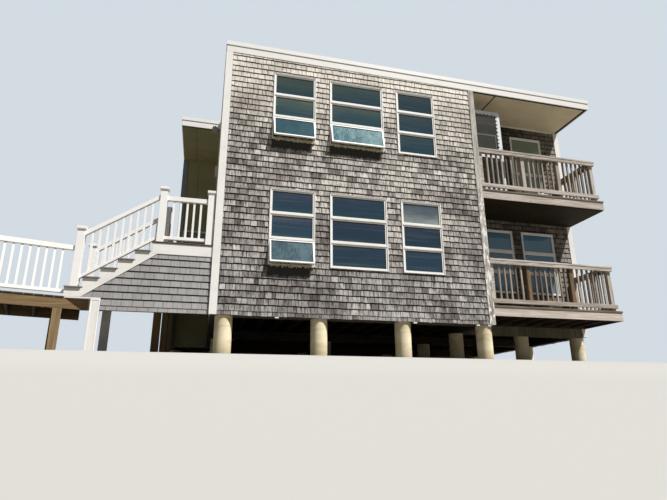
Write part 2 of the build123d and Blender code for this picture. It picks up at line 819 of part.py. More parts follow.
def make_walkway(stair_left):
    """Boardwalk that arrives at the foot of the stairs, skewed a little towards the front."""
    length = walkway_bay * walkway_bays
    board_low = walkway_top - deck_board_thick
    joist_low = board_low - deck_joist_height
    turn = Pos(stair_left, 0, 0) * Rot(0, 0, walkway_skew)
    start = -length
    corner = walkway_width * sin(radians(walkway_skew)) / cos(radians(walkway_skew))
    j = joist_thick
    seat = j + board_joint
    joists = [box(start, walkway_rim_beyond, 0, j, joist_low, board_low),
              prism([(start, walkway_width - j), (corner - corner * j / walkway_width, walkway_width - j),
                     (corner, walkway_width), (start, walkway_width)], joist_low, board_low)]
    for x in [start + j / 2] + evenly(start, 0, joist_spacing) + [-j / 2]:
        joists.append(box(x - j / 2, x + j / 2, seat, walkway_width - seat, joist_low, board_low))
    p = deck_post
    posts = []
    for i in range(walkway_bays + 1):
        x = start + i * walkway_bay
        left = min(max(x - p / 2, start), -p)
        for y in (0, walkway_width - p):
            posts.append(box(left, left + p, y, y + p, 0, joist_low))
    boards = []
    count = round(length / (decking_width + decking_gap))
    pitch = (length + decking_gap) / count
    for i in range(count):
        x0 = start + i * pitch
        boards.append(box(x0, x0 + pitch - decking_gap, -decking_over, walkway_width, board_low, walkway_top))
    wedge = prism([(decking_gap, decking_gap * walkway_width / corner), (corner, walkway_width),
                   (decking_gap, walkway_width)], board_low, walkway_top)
    boards.append(wedge)
    half = newel / 2
    line = half + decking_over
    newels = [newel_post(start + i * walkway_bay + half, line, walkway_top) for i in range(walkway_bays)]
    rails, bars = [], []
    for i in range(walkway_bays):
        a = start + i * walkway_bay + newel
        b = start + (i + 1) * walkway_bay
        r, c = level_guard(a, b, walkway_top)
        rails += [Pos(0, line, 0) * piece for piece in r]
        bars += [Pos(0, line, 0) * piece for piece in c]
    rail_top = walkway_top + white_guard_top
    rails[-2] = box(a, newel, line - white_rail_width / 2, line + white_rail_width / 2,
                    rail_top - white_rail_height, rail_top)
    frame, boards, rails, bars, newels = [
        [turn * piece for piece in group] for group in (joists + posts, boards, rails, bars, newels)]
    for piece, stop in ((-2, stair_left + newel_inset), (-1, stair_left - riser_thick)):
        rails[piece] -= box(stop, stop + walkway_width, -walkway_width, walkway_width, 0, wall_top)
    return frame, boards, rails, bars, newels


def make_fittings():
    """Oval wall lamp above the stairs and the twin floodlight by the porch roof."""
    y, rise = lamp_place
    z = wall_low + rise
    oval = Ellipse(lamp_height / 2, lamp_width / 2)
    parts["wall_lamp"] = Pos(0, y, z) * Rot(0, -90, 0) * extrude(oval, lamp_depth)
    y, rise = flood_place
    z = wall_low + rise
    heads = Pos(-flood_base_thick / 2, y, z) * Box(flood_base_thick, flood_base, flood_base)
    for side in (-1, 1):
        heads += (Pos(-flood_reach, y + side * flood_apart, z) * Rot(0, -flood_dip, side * flood_splay)
                  * Cone(flood_back_radius, flood_mouth_radius, flood_head))
        heads += box(-flood_reach, 0, y + side * flood_apart / 2 - flood_arm / 2,
                     y + side * flood_apart / 2 + flood_arm / 2, z - flood_arm / 2, z + flood_arm / 2)
    parts["floodlight"] = heads


make_walls()
make_windows()
make_floors()
make_roof()
make_corner_boards()
make_base_boards()
make_foundation()
make_doors()
for storey_name, level, bays in zip(("lower", "upper"), balcony_levels, (lower_guard_bays, upper_guard_bays)):
    make_balcony(storey_name, level, bays)
make_balcony_ceiling()
make_entry()
make_fittings()

# The origin is under the middle of the whole, on the level that the piers stand on
whole = Compound(children=[solid for shape in parts.values() for solid in shape.solids()]).bounding_box()
centring = Pos(-(whole.min.X + whole.max.X) / 2, -(whole.min.Y + whole.max.Y) / 2, -whole.min.Z)
os.makedirs("parts", exist_ok=True)
for node, shape in parts.items():
    export_step(centring * Compound(children=list(shape.solids())), f"parts/{node}.step")
print("nodes", len(parts), "box", whole.min, whole.max)
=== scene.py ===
"""Looks of the two-storey shingled apartment building on piers.

Cedar shingles are laid course by course over every wall, timber and trim get eased edges with the grain laid
along each board, and the small fittings are modelled where the frame's pieces carry them. Metres, +Z up."""
import math

import bmesh
import bpy
import numpy as np
from mathutils import Matrix, Vector


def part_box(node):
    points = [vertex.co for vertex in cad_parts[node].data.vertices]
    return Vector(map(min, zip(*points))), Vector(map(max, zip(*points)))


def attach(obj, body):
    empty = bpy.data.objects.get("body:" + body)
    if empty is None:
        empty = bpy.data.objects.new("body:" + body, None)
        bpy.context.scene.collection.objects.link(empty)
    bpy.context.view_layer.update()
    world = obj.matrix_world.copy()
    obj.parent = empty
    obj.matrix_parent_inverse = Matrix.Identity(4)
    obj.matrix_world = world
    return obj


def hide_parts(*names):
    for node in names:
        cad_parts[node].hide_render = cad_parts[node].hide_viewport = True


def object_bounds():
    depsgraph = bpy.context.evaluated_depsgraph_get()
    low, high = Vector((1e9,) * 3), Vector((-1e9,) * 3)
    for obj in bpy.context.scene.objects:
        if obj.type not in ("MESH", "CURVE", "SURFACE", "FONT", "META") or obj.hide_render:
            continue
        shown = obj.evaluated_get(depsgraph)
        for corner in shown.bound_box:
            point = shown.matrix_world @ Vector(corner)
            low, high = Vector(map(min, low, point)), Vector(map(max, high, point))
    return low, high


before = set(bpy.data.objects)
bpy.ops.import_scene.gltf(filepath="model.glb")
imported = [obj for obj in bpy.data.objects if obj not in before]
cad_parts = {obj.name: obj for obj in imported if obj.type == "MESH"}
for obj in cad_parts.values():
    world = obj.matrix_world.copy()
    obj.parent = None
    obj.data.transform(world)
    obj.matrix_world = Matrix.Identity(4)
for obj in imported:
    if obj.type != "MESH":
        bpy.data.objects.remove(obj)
cad_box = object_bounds()
bpy.ops.object.select_all(action="DESELECT")

# Shingles, in metres
EXPOSURE = 0.127
FIRST_COURSE = 0.082
SHINGLE_WIDTHS = (0.07, 0.2)
SHINGLE_GAPS = (0.002, 0.008)
BUTT_THICK = 0.019
TIP_THICK = 0.005
CUT_CLEAR = 0.003
NEW_WIDTHS = (0.15, 0.185)

# Camera: where the eye is from the foot of the front left corner of the wall, and how it is turned
EYE_FROM_CORNER = Vector((-0.069, -9.259, -1.626))
CAMERA_YAW = 14.25
CAMERA_PITCH = 17.38
CAMERA_ROLL = -0.255
FOCAL_PIXELS = 508
PHOTO_WIDTH = 667

# The sun stands high to the right of the front, and its light is soft at the edges
SUN_DIRECTION = Vector((-1.1, 1.0, -2.4))
SUN_STRENGTH = 6.3
SUN_ANGLE = 0.8
SKY_STRENGTH = 0.16

wall_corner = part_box("front_wall")[0]


def colour(code):
    """Linear RGBA of an sRGB hex colour."""
    parts = [int(code[i:i + 2], 16) / 255 for i in (1, 3, 5)]
    return [c / 12.92 if c <= 0.04045 else ((c + 0.055) / 1.055) ** 2.4 for c in parts] + [1.0]


def add(tree, kind, inputs=None, out=None, stops=None, **settings):
    """Adds a node with its settings, links and values, and gives back one of its outputs."""
    node = tree.nodes.new("ShaderNode" + kind)
    for name, value in settings.items():
        setattr(node, name, value)
    if stops:
        while len(node.color_ramp.elements) < len(stops):
            node.color_ramp.elements.new(0.5)
        for element, (place, code) in zip(node.color_ramp.elements, stops):
            element.position = place
            element.color = colour(code) if isinstance(code, str) else (code, code, code, 1.0)
    for name, value in (inputs or {}).items():
        if isinstance(value, bpy.types.NodeSocket):
            tree.links.new(value, node.inputs[name])
        elif isinstance(value, str):
            node.inputs[name].default_value = colour(value)
        else:
            node.inputs[name].default_value = value
    if out:
        return node.outputs[out]
    return next((o for o in node.outputs if o.enabled), None)


# Settings of a colour mix: plain, and the one that darkens by its second colour
BLEND = {"data_type": "RGBA", "blend_type": "MIX"}
DARKEN = {"data_type": "RGBA", "blend_type": "MULTIPLY"}


def new_material(name):
    made = bpy.data.materials.new(name)
    made.use_nodes = True
    made.node_tree.nodes.clear()
    return made, made.node_tree


def finish_material(made, tree, base, roughness, height=None, relief=0.001, **shader):
    """Ends a material in one Principled shader; relief is the bump's depth in metres."""
    inputs = {"Base Color": base, "Roughness": roughness}
    if height is not None:
        inputs["Normal"] = add(tree, "Bump", {"Height": height, "Distance": relief, "Strength": 1.0})
    inputs.update({name.replace("_", " "): value for name, value in shader.items()})
    surface = add(tree, "BsdfPrincipled", inputs)
    add(tree, "OutputMaterial", {"Surface": surface})
    return made


def shingle_cedar(name, tones, streak_code, streak_share, stain_code, bleach_share, mildew_and_shade_share=0.0):
    """Cedar sidewall shingle: silver-grey weathering in upright streaks, dark at the joints and under each
    butt, where the dark is partly painted shadow.
    The attribute tone holds each shingle's own tone, how high in its exposure a point is, and a shift."""
    made, tree = new_material(name)
    own = add(tree, "Attribute", attribute_name="tone", out="Vector")
    parts = add(tree, "SeparateXYZ", {"Vector": own}).node
    side = add(tree, "Attribute", attribute_name="side", out="Fac")
    base = add(tree, "ValToRGB", {"Fac": parts.outputs["X"]}, stops=tones)
    at = add(tree, "TexCoord", out="Object")
    apart = add(tree, "CombineXYZ", {"X": parts.outputs["Z"], "Y": parts.outputs["X"]})
    shifted = add(tree, "VectorMath", {0: at, 1: apart}, operation="ADD")
    # Sun bleaches the top courses, and broad patches hold more tannin
    place = add(tree, "SeparateXYZ", {"Vector": at}, out="Z")
    bleach = add(tree, "MapRange", {"Value": place, 1: 4.4, 2: 5.8, 3: 0.0, 4: bleach_share})
    base = add(tree, "Mix", {0: bleach, 6: base, 7: "#fcf6ea"}, **BLEND)
    # Below 3.6 m the courses grow duller and greyer towards the bottom
    lower_greying = add(tree, "MapRange", {"Value": place, 1: 3.6, 2: 1.6, 3: 0.0, 4: 0.8 * streak_share})
    base = add(tree, "Mix", {0: lower_greying, 6: base, 7: "#d3d4d8"}, **DARKEN)
    if mildew_and_shade_share:
        # Behind the balconies the cedar is darkened, least near the open right end and somewhat less in the
        # lower storey: partly mildew, partly painted shade of the recess
        across = add(tree, "SeparateXYZ", {"Vector": at}, out="X")
        painted_recess_light = add(tree, "MapRange", {"Value": across, 1: 7.5, 2: 6.2, 3: 0.5, 4: mildew_and_shade_share})
        storey = add(tree, "MapRange", {"Value": place, 1: 3.7, 2: 3.9, 3: 0.75, 4: 1.0})
        painted_recess_light = add(tree, "Math", {0: painted_recess_light, 1: storey}, operation="MULTIPLY")
        base = add(tree, "Mix", {0: painted_recess_light, 6: base, 7: "#57584f"}, **DARKEN)
    # Patches of a metre and more
    placed = add(tree, "Mapping", {"Vector": at, "Scale": (0.8, 0.8, 1.3)})
    patch = add(tree, "TexNoise", {"Vector": placed, "Scale": 1.0, "Detail": 3.0, "Roughness": 0.55})
    patches = add(tree, "MapRange", {"Value": patch, 1: 0.42, 2: 0.68, 3: 0.0, 4: 0.75 * streak_share})
    base = add(tree, "Mix", {0: patches, 6: base, 7: "#96908f"}, **DARKEN)
    # Rain draws dark streaks down each shingle, strongest high in its exposure. The real ones are 2 to 10 mm
    # wide; they are drawn 33 and 16 mm wide, as coarse as they need to be to show
    placed = add(tree, "Mapping", {"Vector": shifted, "Scale": (30, 30, 2.5)})
    broad = add(tree, "TexNoise", {"Vector": placed, "Scale": 1.0, "Detail": 2.0, "Roughness": 0.5})
    broad = add(tree, "MapRange", {"Value": broad, 1: 0.48, 2: 0.37, 3: 0.0, 4: 0.9})
    placed = add(tree, "Mapping", {"Vector": shifted, "Scale": (62, 62, 4.5)})
    fine = add(tree, "TexNoise", {"Vector": placed, "Scale": 1.0, "Detail": 2.0, "Roughness": 0.5})
    fine = add(tree, "MapRange", {"Value": fine, 1: 0.475, 2: 0.38, 3: 0.0, 4: 0.75})
    streaks = add(tree, "Math", {0: broad, 1: fine}, operation="MAXIMUM")
    high = add(tree, "MapRange", {"Value": parts.outputs["Y"], 1: 0.0, 2: 0.8,
                                  3: 0.5 * streak_share, 4: streak_share})
    kept = add(tree, "MapRange", {"Value": bleach, 1: 0.0, 2: 1.0, 3: 1.0, 4: 0.45})
    high = add(tree, "Math", {0: high, 1: kept}, operation="MULTIPLY")
    amount = add(tree, "Math", {0: streaks, 1: high}, operation="MULTIPLY")
    base = add(tree, "Mix", {0: amount, 6: base, 7: streak_code}, **DARKEN)
    # Under the butt above, each exposure is darkened nearly to black: dirt, and painted shadow of the butt.
    # Dirt also darkens both edges
    under = add(tree, "MapRange", {"Value": parts.outputs["Y"], 1: 0.76, 2: 0.86, 3: 0.0, 4: 0.97})
    away = add(tree, "Math", {0: side, 1: 0.5}, operation="SUBTRACT")
    away = add(tree, "Math", {0: away}, operation="ABSOLUTE")
    edge = add(tree, "MapRange", {"Value": away, 1: 0.42, 2: 0.5, 3: 0.0, 4: 0.2 + 0.2 * streak_share})
    dirt = add(tree, "Math", {0: under, 1: edge}, operation="MAXIMUM")
    base = add(tree, "Mix", {0: dirt, 6: base, 7: stain_code}, **DARKEN)
    # The grain of 1 mm is drawn 4 mm wide and 110 mm long
    placed = add(tree, "Mapping", {"Vector": shifted, "Scale": (240, 240, 9)})
    grain = add(tree, "TexNoise", {"Vector": placed, "Scale": 1.0, "Detail": 3.0, "Roughness": 0.6})
    return finish_material(made, tree, base, 0.88, grain, 0.0018, Specular_IOR_Level=0.2)


def board_material(name, tones, grain_code, grain_share, roughness, relief=0.0012, knots=0.0, dirt=0.0,
                   paint_left=0.0):
    """Sawn boards: the grain runs along each board by its own attribute, and each board has its own tone."""
    made, tree = new_material(name)
    at = add(tree, "Attribute", attribute_name="grain", out="Vector")
    tone = add(tree, "Attribute", attribute_name="board", out="Fac")
    base = add(tree, "ValToRGB", {"Fac": tone}, stops=tones)
    # Grain lines of 1 to 2 mm are drawn 7 mm wide and 600 mm long, and bands 70 mm wide and 900 mm long
    placed = add(tree, "Mapping", {"Vector": at, "Scale": (1.6, 140, 140)})
    lines = add(tree, "TexNoise", {"Vector": placed, "Scale": 1.0, "Detail": 4.0, "Roughness": 0.62})
    line_mask = add(tree, "MapRange", {"Value": lines, 1: 0.38, 2: 0.64, 3: grain_share, 4: 0.0})
    base = add(tree, "Mix", {0: line_mask, 6: base, 7: grain_code}, **DARKEN)
    placed = add(tree, "Mapping", {"Vector": at, "Scale": (1.1, 14, 14)})
    wide = add(tree, "TexNoise", {"Vector": placed, "Scale": 1.0, "Detail": 3.0, "Roughness": 0.5})
    wide_mask = add(tree, "MapRange", {"Value": wide, 1: 0.4, 2: 0.7, 3: 0.0, 4: 0.35 * grain_share})
    base = add(tree, "Mix", {0: wide_mask, 6: base, 7: grain_code}, **DARKEN)
    if knots:
        # Knots about 60 mm long and 25 mm wide, one to about 300 mm of board
        spots = add(tree, "Mapping", {"Vector": at, "Scale": (3.2, 9, 9)})
        near = add(tree, "TexVoronoi", {"Vector": spots, "Scale": 1.0}, out="Distance")
        knot = add(tree, "MapRange", {"Value": near, 1: 0.05, 2: 0.16, 3: knots, 4: 0.0})
        base = add(tree, "Mix", {0: knot, 6: base, 7: "#6b4a31"}, **DARKEN)
    if dirt or paint_left:
        here = add(tree, "TexCoord", out="Object")
    if dirt:
        # Cloudy dirt, 300 to 450 mm across
        placed = add(tree, "Mapping", {"Vector": here, "Scale": (2.2, 2.2, 3.5)})
        weather = add(tree, "TexNoise", {"Vector": placed, "Scale": 1.0, "Detail": 4.0, "Roughness": 0.6})
        weather_mask = add(tree, "MapRange", {"Value": weather, 1: 0.48, 2: 0.78, 3: 0.0, 4: dirt})
        base = add(tree, "Mix", {0: weather_mask, 6: base, 7: "#8d8474"}, **DARKEN)
        # Faces that look up are darkened: dust, and painted shade on the sunlit tops
        base = dust_and_painted_top_shade(tree, base)
    if paint_left:
        # Flakes of the old white paint, 60 mm wide and 160 mm tall, cling to the lower half
        place = add(tree, "SeparateXYZ", {"Vector": here}, out="Z")
        low = add(tree, "MapRange", {"Value": place, 1: 4.4, 2: 3.2, 3: 0.0, 4: paint_left})
        placed = add(tree, "Mapping", {"Vector": here, "Scale": (16, 16, 6)})
        flakes = add(tree, "TexNoise", {"Vector": placed, "Scale": 1.0, "Detail": 4.0, "Roughness": 0.65})
        flakes = add(tree, "MapRange", {"Value": flakes, 1: 0.5, 2: 0.56, 3: 0.0, 4: 1.0})
        flakes = add(tree, "Math", {0: flakes, 1: low}, operation="MULTIPLY")
        base = add(tree, "Mix", {0: flakes, 6: base, 7: "#fbf9f5"}, **BLEND)
    return finish_material(made, tree, base, roughness, lines, relief, Specular_IOR_Level=0.3)


def dust_and_painted_top_shade(tree, base):
    """Faces that look up are darkened, so they are duller than the upright ones: partly dust and grit, partly
    painted shade that keeps the sunlit tops from going white.
    """
    facing = add(tree, "NewGeometry", out="True Normal")
    up = add(tree, "SeparateXYZ", {"Vector": facing}, out="Z")
    dust = add(tree, "MapRange", {"Value": up, 1: 0.4, 2: 0.9, 3: 0.0, 4: 1.0})
    return add(tree, "Mix", {0: dust, 6: base, 7: "#c6c2ba"}, **DARKEN)


def plain_skin(name, base_code, stain_code, stain_share, scale, roughness, relief=0.0006, **shader):
    """A paint, vinyl or metal skin with faint cloudy soiling, 1/scale metres across, and a fine surface. The
    surface's waves of 1 to 2 mm are drawn 11 mm across."""
    made, tree = new_material(name)
    at = add(tree, "TexCoord", out="Object")
    placed = add(tree, "Mapping", {"Vector": at, "Scale": scale})
    cloud = add(tree, "TexNoise", {"Vector": placed, "Scale": 1.0, "Detail": 5.0, "Roughness": 0.6})
    mask = add(tree, "MapRange", {"Value": cloud, 1: 0.45, 2: 0.8, 3: 0.0, 4: stain_share})
    base = add(tree, "Mix", {0: mask, 6: base_code, 7: stain_code}, **BLEND)
    # Faces that look up are darkened: dust, and painted shade on the sunlit tops
    base = dust_and_painted_top_shade(tree, base)
    placed = add(tree, "Mapping", {"Vector": at, "Scale": (90, 90, 90)})
    fine = add(tree, "TexNoise", {"Vector": placed, "Scale": 1.0, "Detail": 2.0, "Roughness": 0.55})
    rough = add(tree, "MapRange", {"Value": cloud, 1: 0.3, 2: 0.8, 3: roughness, 4: roughness + 0.12})
    return finish_material(made, tree, base, rough, fine, relief, **shader)


def pier_concrete():
    """Concrete cast in paper tubes: pale buff and cloudy, with pinholes and damp at the foot."""
    made, tree = new_material("tube_cast_concrete")
    at = add(tree, "TexCoord", out="Object")
    # Clouds of cement skin, 200 to 330 mm across
    placed = add(tree, "Mapping", {"Vector": at, "Scale": (3, 3, 5)})
    cloud = add(tree, "TexNoise", {"Vector": placed, "Scale": 1.0, "Detail": 5.0, "Roughness": 0.6})
    base = add(tree, "ValToRGB", {"Fac": cloud},
               stops=[(0.25, "#c4b692"), (0.5, "#e6dab7"), (0.75, "#f2e8cb")])
    foot = add(tree, "SeparateXYZ", {"Vector": at}, out="Z")
    damp = add(tree, "MapRange", {"Value": foot, 1: 0.02, 2: 0.3, 3: 0.55, 4: 0.0})
    base = add(tree, "Mix", {0: damp, 6: base, 7: "#7b705a"}, **DARKEN)
    # Pinholes of 3 to 10 mm, one to every 26 mm
    holes = add(tree, "TexVoronoi", {"Vector": at, "Scale": 38.0}, out="Distance")
    pits = add(tree, "MapRange", {"Value": holes, 1: 0.05, 2: 0.2, 3: 0.0, 4: 1.0})
    return finish_material(made, tree, base, 0.9, pits, 0.002)


def window_glass():
    """Float glass, double pane: smooth. Its colour is painted reflection, over the dark of the unlit room
    behind: the room's ceiling near the head, then teal and navy further down. Each lite has its own tone.
    The attribute lite holds how far across and up its lite a point is, and the lite's tone."""
    made, tree = new_material("float_glass_painted_reflection")
    at = add(tree, "TexCoord", out="Object")
    place = add(tree, "SeparateXYZ", {"Vector": at}).node.outputs
    lite = add(tree, "Attribute", attribute_name="lite", out="Vector")
    lite = add(tree, "SeparateXYZ", {"Vector": lite}).node.outputs
    # The painted reflection shifts in waves of 800 by 200 mm
    placed = add(tree, "Mapping", {"Vector": at, "Scale": (1.2, 1.2, 5)})
    wave = add(tree, "TexNoise", {"Vector": placed, "Scale": 1.0, "Detail": 3.0, "Roughness": 0.6})
    uneven = add(tree, "MapRange", {"Value": wave, 1: 0.3, 2: 0.7, 3: -0.22, 4: 0.22})
    up = add(tree, "Math", {0: lite["Y"], 1: uneven}, operation="ADD")
    upper = add(tree, "ValToRGB", {"Fac": up}, stops=[
        (0.0, "#26444f"), (0.35, "#2e4a50"), (0.65, "#425751"), (0.85, "#4c5a50"), (1.0, "#5c6354")])
    lower = add(tree, "ValToRGB", {"Fac": up}, stops=[
        (0.0, "#264a58"), (0.35, "#233f52"), (0.7, "#2b4056"), (0.88, "#3d4a5b"), (1.0, "#4f515d")])
    storey = add(tree, "MapRange", {"Value": place["Z"], 1: 3.8, 2: 3.9, 3: 0.0, 4: 1.0})
    base = add(tree, "Mix", {0: storey, 6: lower, 7: upper}, **BLEND)
    # Further right the painted reflection is bluer
    right = add(tree, "MapRange", {"Value": place["X"], 1: 0.6, 2: 3.2, 3: 0.0, 4: 0.65})
    base = add(tree, "Mix", {0: right, 6: base, 7: "#1c4054"}, **BLEND)
    shade = add(tree, "ValToRGB", {"Fac": lite["Z"]}, stops=[(0.0, "#c3c6ca"), (1.0, "#ffffff")])
    base = add(tree, "Mix", {0: 1.0, 6: base, 7: shade}, **DARKEN)
    # Faint level bands, 90 mm tall: painted reflection of the rooms' ceilings and blinds
    placed = add(tree, "Mapping", {"Vector": at, "Scale": (0.5, 0.5, 11)})
    bands = add(tree, "TexNoise", {"Vector": placed, "Scale": 1.0, "Detail": 3.0, "Roughness": 0.6})
    reflected_band_mask = add(tree, "MapRange", {"Value": bands, 1: 0.52, 2: 0.74, 3: 0.0, 4: 0.5})
    base = add(tree, "Mix", {0: reflected_band_mask, 6: base, 7: "#59646a"}, **BLEND)
    # One pale blind is drawn, and under the balconies the panes get a painted reflection of the bright open
    # side
    kind = add(tree, "Attribute", attribute_name="behind", out="Fac")
    blind = add(tree, "MapRange", {"Value": kind, 1: 1.2, 2: 1.8, 3: 0.0, 4: 0.85})
    cloth = add(tree, "ValToRGB", {"Fac": up}, stops=[
        (0.0, "#a3a9a6"), (0.25, "#838c8e"), (0.6, "#5f6a70"), (0.9, "#4c5964"), (1.0, "#2b3b4a")])
    base = add(tree, "Mix", {0: blind, 6: base, 7: cloth}, **BLEND)
    painted_recess_light = add(tree, "MapRange", {"Value": kind, 1: 0.2, 2: 0.8, 3: 0.0, 4: 1.0})
    opened = add(tree, "Math", {0: kind, 1: 1.5}, operation="LESS_THAN")
    painted_recess_light = add(tree, "Math", {0: painted_recess_light, 1: opened}, operation="MULTIPLY")
    painted_open_side_reflection = add(tree, "Mix", {0: storey, 6: "#5c85a0", 7: "#849380"}, **BLEND)
    base = add(tree, "Mix", {0: painted_recess_light, 6: base, 7: painted_open_side_reflection}, **BLEND)
    # An open sash faces upwards and gets a paler painted sky reflection with the runs of rain; the one opened
    # widest gets a deep blue painted reflection. Runs of 5 to 10 mm are drawn 17 mm wide; the washed patches
    # between them are 200 to 330 mm across
    facing = add(tree, "NewGeometry", out="True Normal")
    tilt = add(tree, "SeparateXYZ", {"Vector": facing}, out="Z")
    painted_sky_share = add(tree, "ValToRGB", {"Fac": tilt}, stops=[
        (0.05, 0.0), (0.1, 0.85), (0.25, 0.85), (0.27, 0.1)])
    stands_open = add(tree, "Math", {0: tilt, 1: 0.05}, operation="GREATER_THAN")
    base = add(tree, "Mix", {0: stands_open, 6: base, 7: "#1e414d"}, **BLEND)
    placed = add(tree, "Mapping", {"Vector": at, "Scale": (60, 60, 1.6)})
    runs = add(tree, "TexNoise", {"Vector": placed, "Scale": 1.0, "Detail": 3.0, "Roughness": 0.6})
    placed = add(tree, "Mapping", {"Vector": at, "Scale": (5, 5, 3)})
    washed = add(tree, "TexNoise", {"Vector": placed, "Scale": 1.0, "Detail": 2.0, "Roughness": 0.5})
    half_runs = add(tree, "Mix", {0: 0.45, 2: runs, 3: washed})
    across = add(tree, "MapRange", {"Value": lite["X"], 1: 0.0, 2: 1.0, 3: -0.05, 4: 0.06})
    half_runs = add(tree, "Math", {0: half_runs, 1: across}, operation="ADD")
    sky_reflection_upper = add(tree, "ValToRGB", {"Fac": half_runs}, stops=[(0.38, "#3d646f"), (0.62, "#93b1b3")])
    sky_reflection_lower = add(tree, "ValToRGB", {"Fac": half_runs}, stops=[(0.4, "#384d59"), (0.58, "#62757d")])
    # Painted sky reflection of the open sashes, by storey
    pale = add(tree, "Mix", {0: storey, 6: sky_reflection_lower, 7: sky_reflection_upper}, **BLEND)
    base = add(tree, "Mix", {0: painted_sky_share, 6: base, 7: pale}, **BLEND)
    # Float glass bends what it mirrors in waves of about 400 mm
    placed = add(tree, "Mapping", {"Vector": at, "Scale": (2.5, 2.5, 2.5)})
    bent = add(tree, "TexNoise", {"Vector": placed, "Scale": 1.0, "Detail": 1.0, "Roughness": 0.4})
    return finish_material(made, tree, base, 0.05, bent, 0.0006, Specular_IOR_Level=0.35)


def roof_membrane():
    """Rolled bitumen membrane with mineral grit: mid grey, speckled, with patches of paler dust 1.4 m across.
    Grit of 1 to 2 mm is drawn 4 mm across."""
    made, tree = new_material("mineral_bitumen_membrane")
    at = add(tree, "TexCoord", out="Object")
    placed = add(tree, "Mapping", {"Vector": at, "Scale": (260, 260, 260)})
    grit = add(tree, "TexNoise", {"Vector": placed, "Scale": 1.0, "Detail": 2.0, "Roughness": 0.7})
    base = add(tree, "ValToRGB", {"Fac": grit}, stops=[(0.35, "#5d5b58"), (0.65, "#8b8883")])
    placed = add(tree, "Mapping", {"Vector": at, "Scale": (0.7, 0.7, 0.7)})
    cloud = add(tree, "TexNoise", {"Vector": placed, "Scale": 1.0, "Detail": 4.0, "Roughness": 0.6})
    mask = add(tree, "MapRange", {"Value": cloud, 1: 0.45, 2: 0.7, 3: 0.0, 4: 0.4})
    base = add(tree, "Mix", {0: mask, 6: base, 7: "#a29d94"}, **BLEND)
    return finish_material(made, tree, base, 0.92, grit, 0.0015)


def painted_plywood(name, low_code, high_code):
    """Painted plywood: brushed flat, blotchy with age in patches of 400 to 700 mm, the rotary grain just
    telling through the paint. Grain of 3 mm is drawn 14 mm wide and 200 mm long."""
    made, tree = new_material(name)
    at = add(tree, "TexCoord", out="Object")
    placed = add(tree, "Mapping", {"Vector": at, "Scale": (1.4, 2.6, 1.4)})
    cloud = add(tree, "TexNoise", {"Vector": placed, "Scale": 1.0, "Detail": 4.0, "Roughness": 0.55})
    base = add(tree, "ValToRGB", {"Fac": cloud}, stops=[(0.3, low_code), (0.7, high_code)])
    placed = add(tree, "Mapping", {"Vector": at, "Scale": (70, 5, 70)})
    grain = add(tree, "TexNoise", {"Vector": placed, "Scale": 1.0, "Detail": 3.0, "Roughness": 0.6})
    stain = add(tree, "MapRange", {"Value": grain, 1: 0.5, 2: 0.75, 3: 0.0, 4: 0.18})
    base = add(tree, "Mix", {0: stain, 6: base, 7: "#8f8468"}, **DARKEN)
    return finish_material(made, tree, base, 0.75, grain, 0.0008, Specular_IOR_Level=0.15)


def screen_mesh():
    """Storm door glazing behind insect screen: smoky, slightly see-through, uneven in clouds of 330 mm. The
    screen's wires, 1.5 mm apart, are too fine to show and are left to the smoky tone."""
    made, tree = new_material("storm_glazing")
    at = add(tree, "TexCoord", out="Object")
    placed = add(tree, "Mapping", {"Vector": at, "Scale": (3, 3, 3)})
    cloud = add(tree, "TexNoise", {"Vector": placed, "Scale": 1.0, "Detail": 3.0, "Roughness": 0.55})
    base = add(tree, "ValToRGB", {"Fac": cloud}, stops=[(0.3, "#25241d"), (0.7, "#3a3930")])
    return finish_material(made, tree, base, 0.25, cloud, 0.0004, Alpha=0.62, Specular_IOR_Level=0.5)


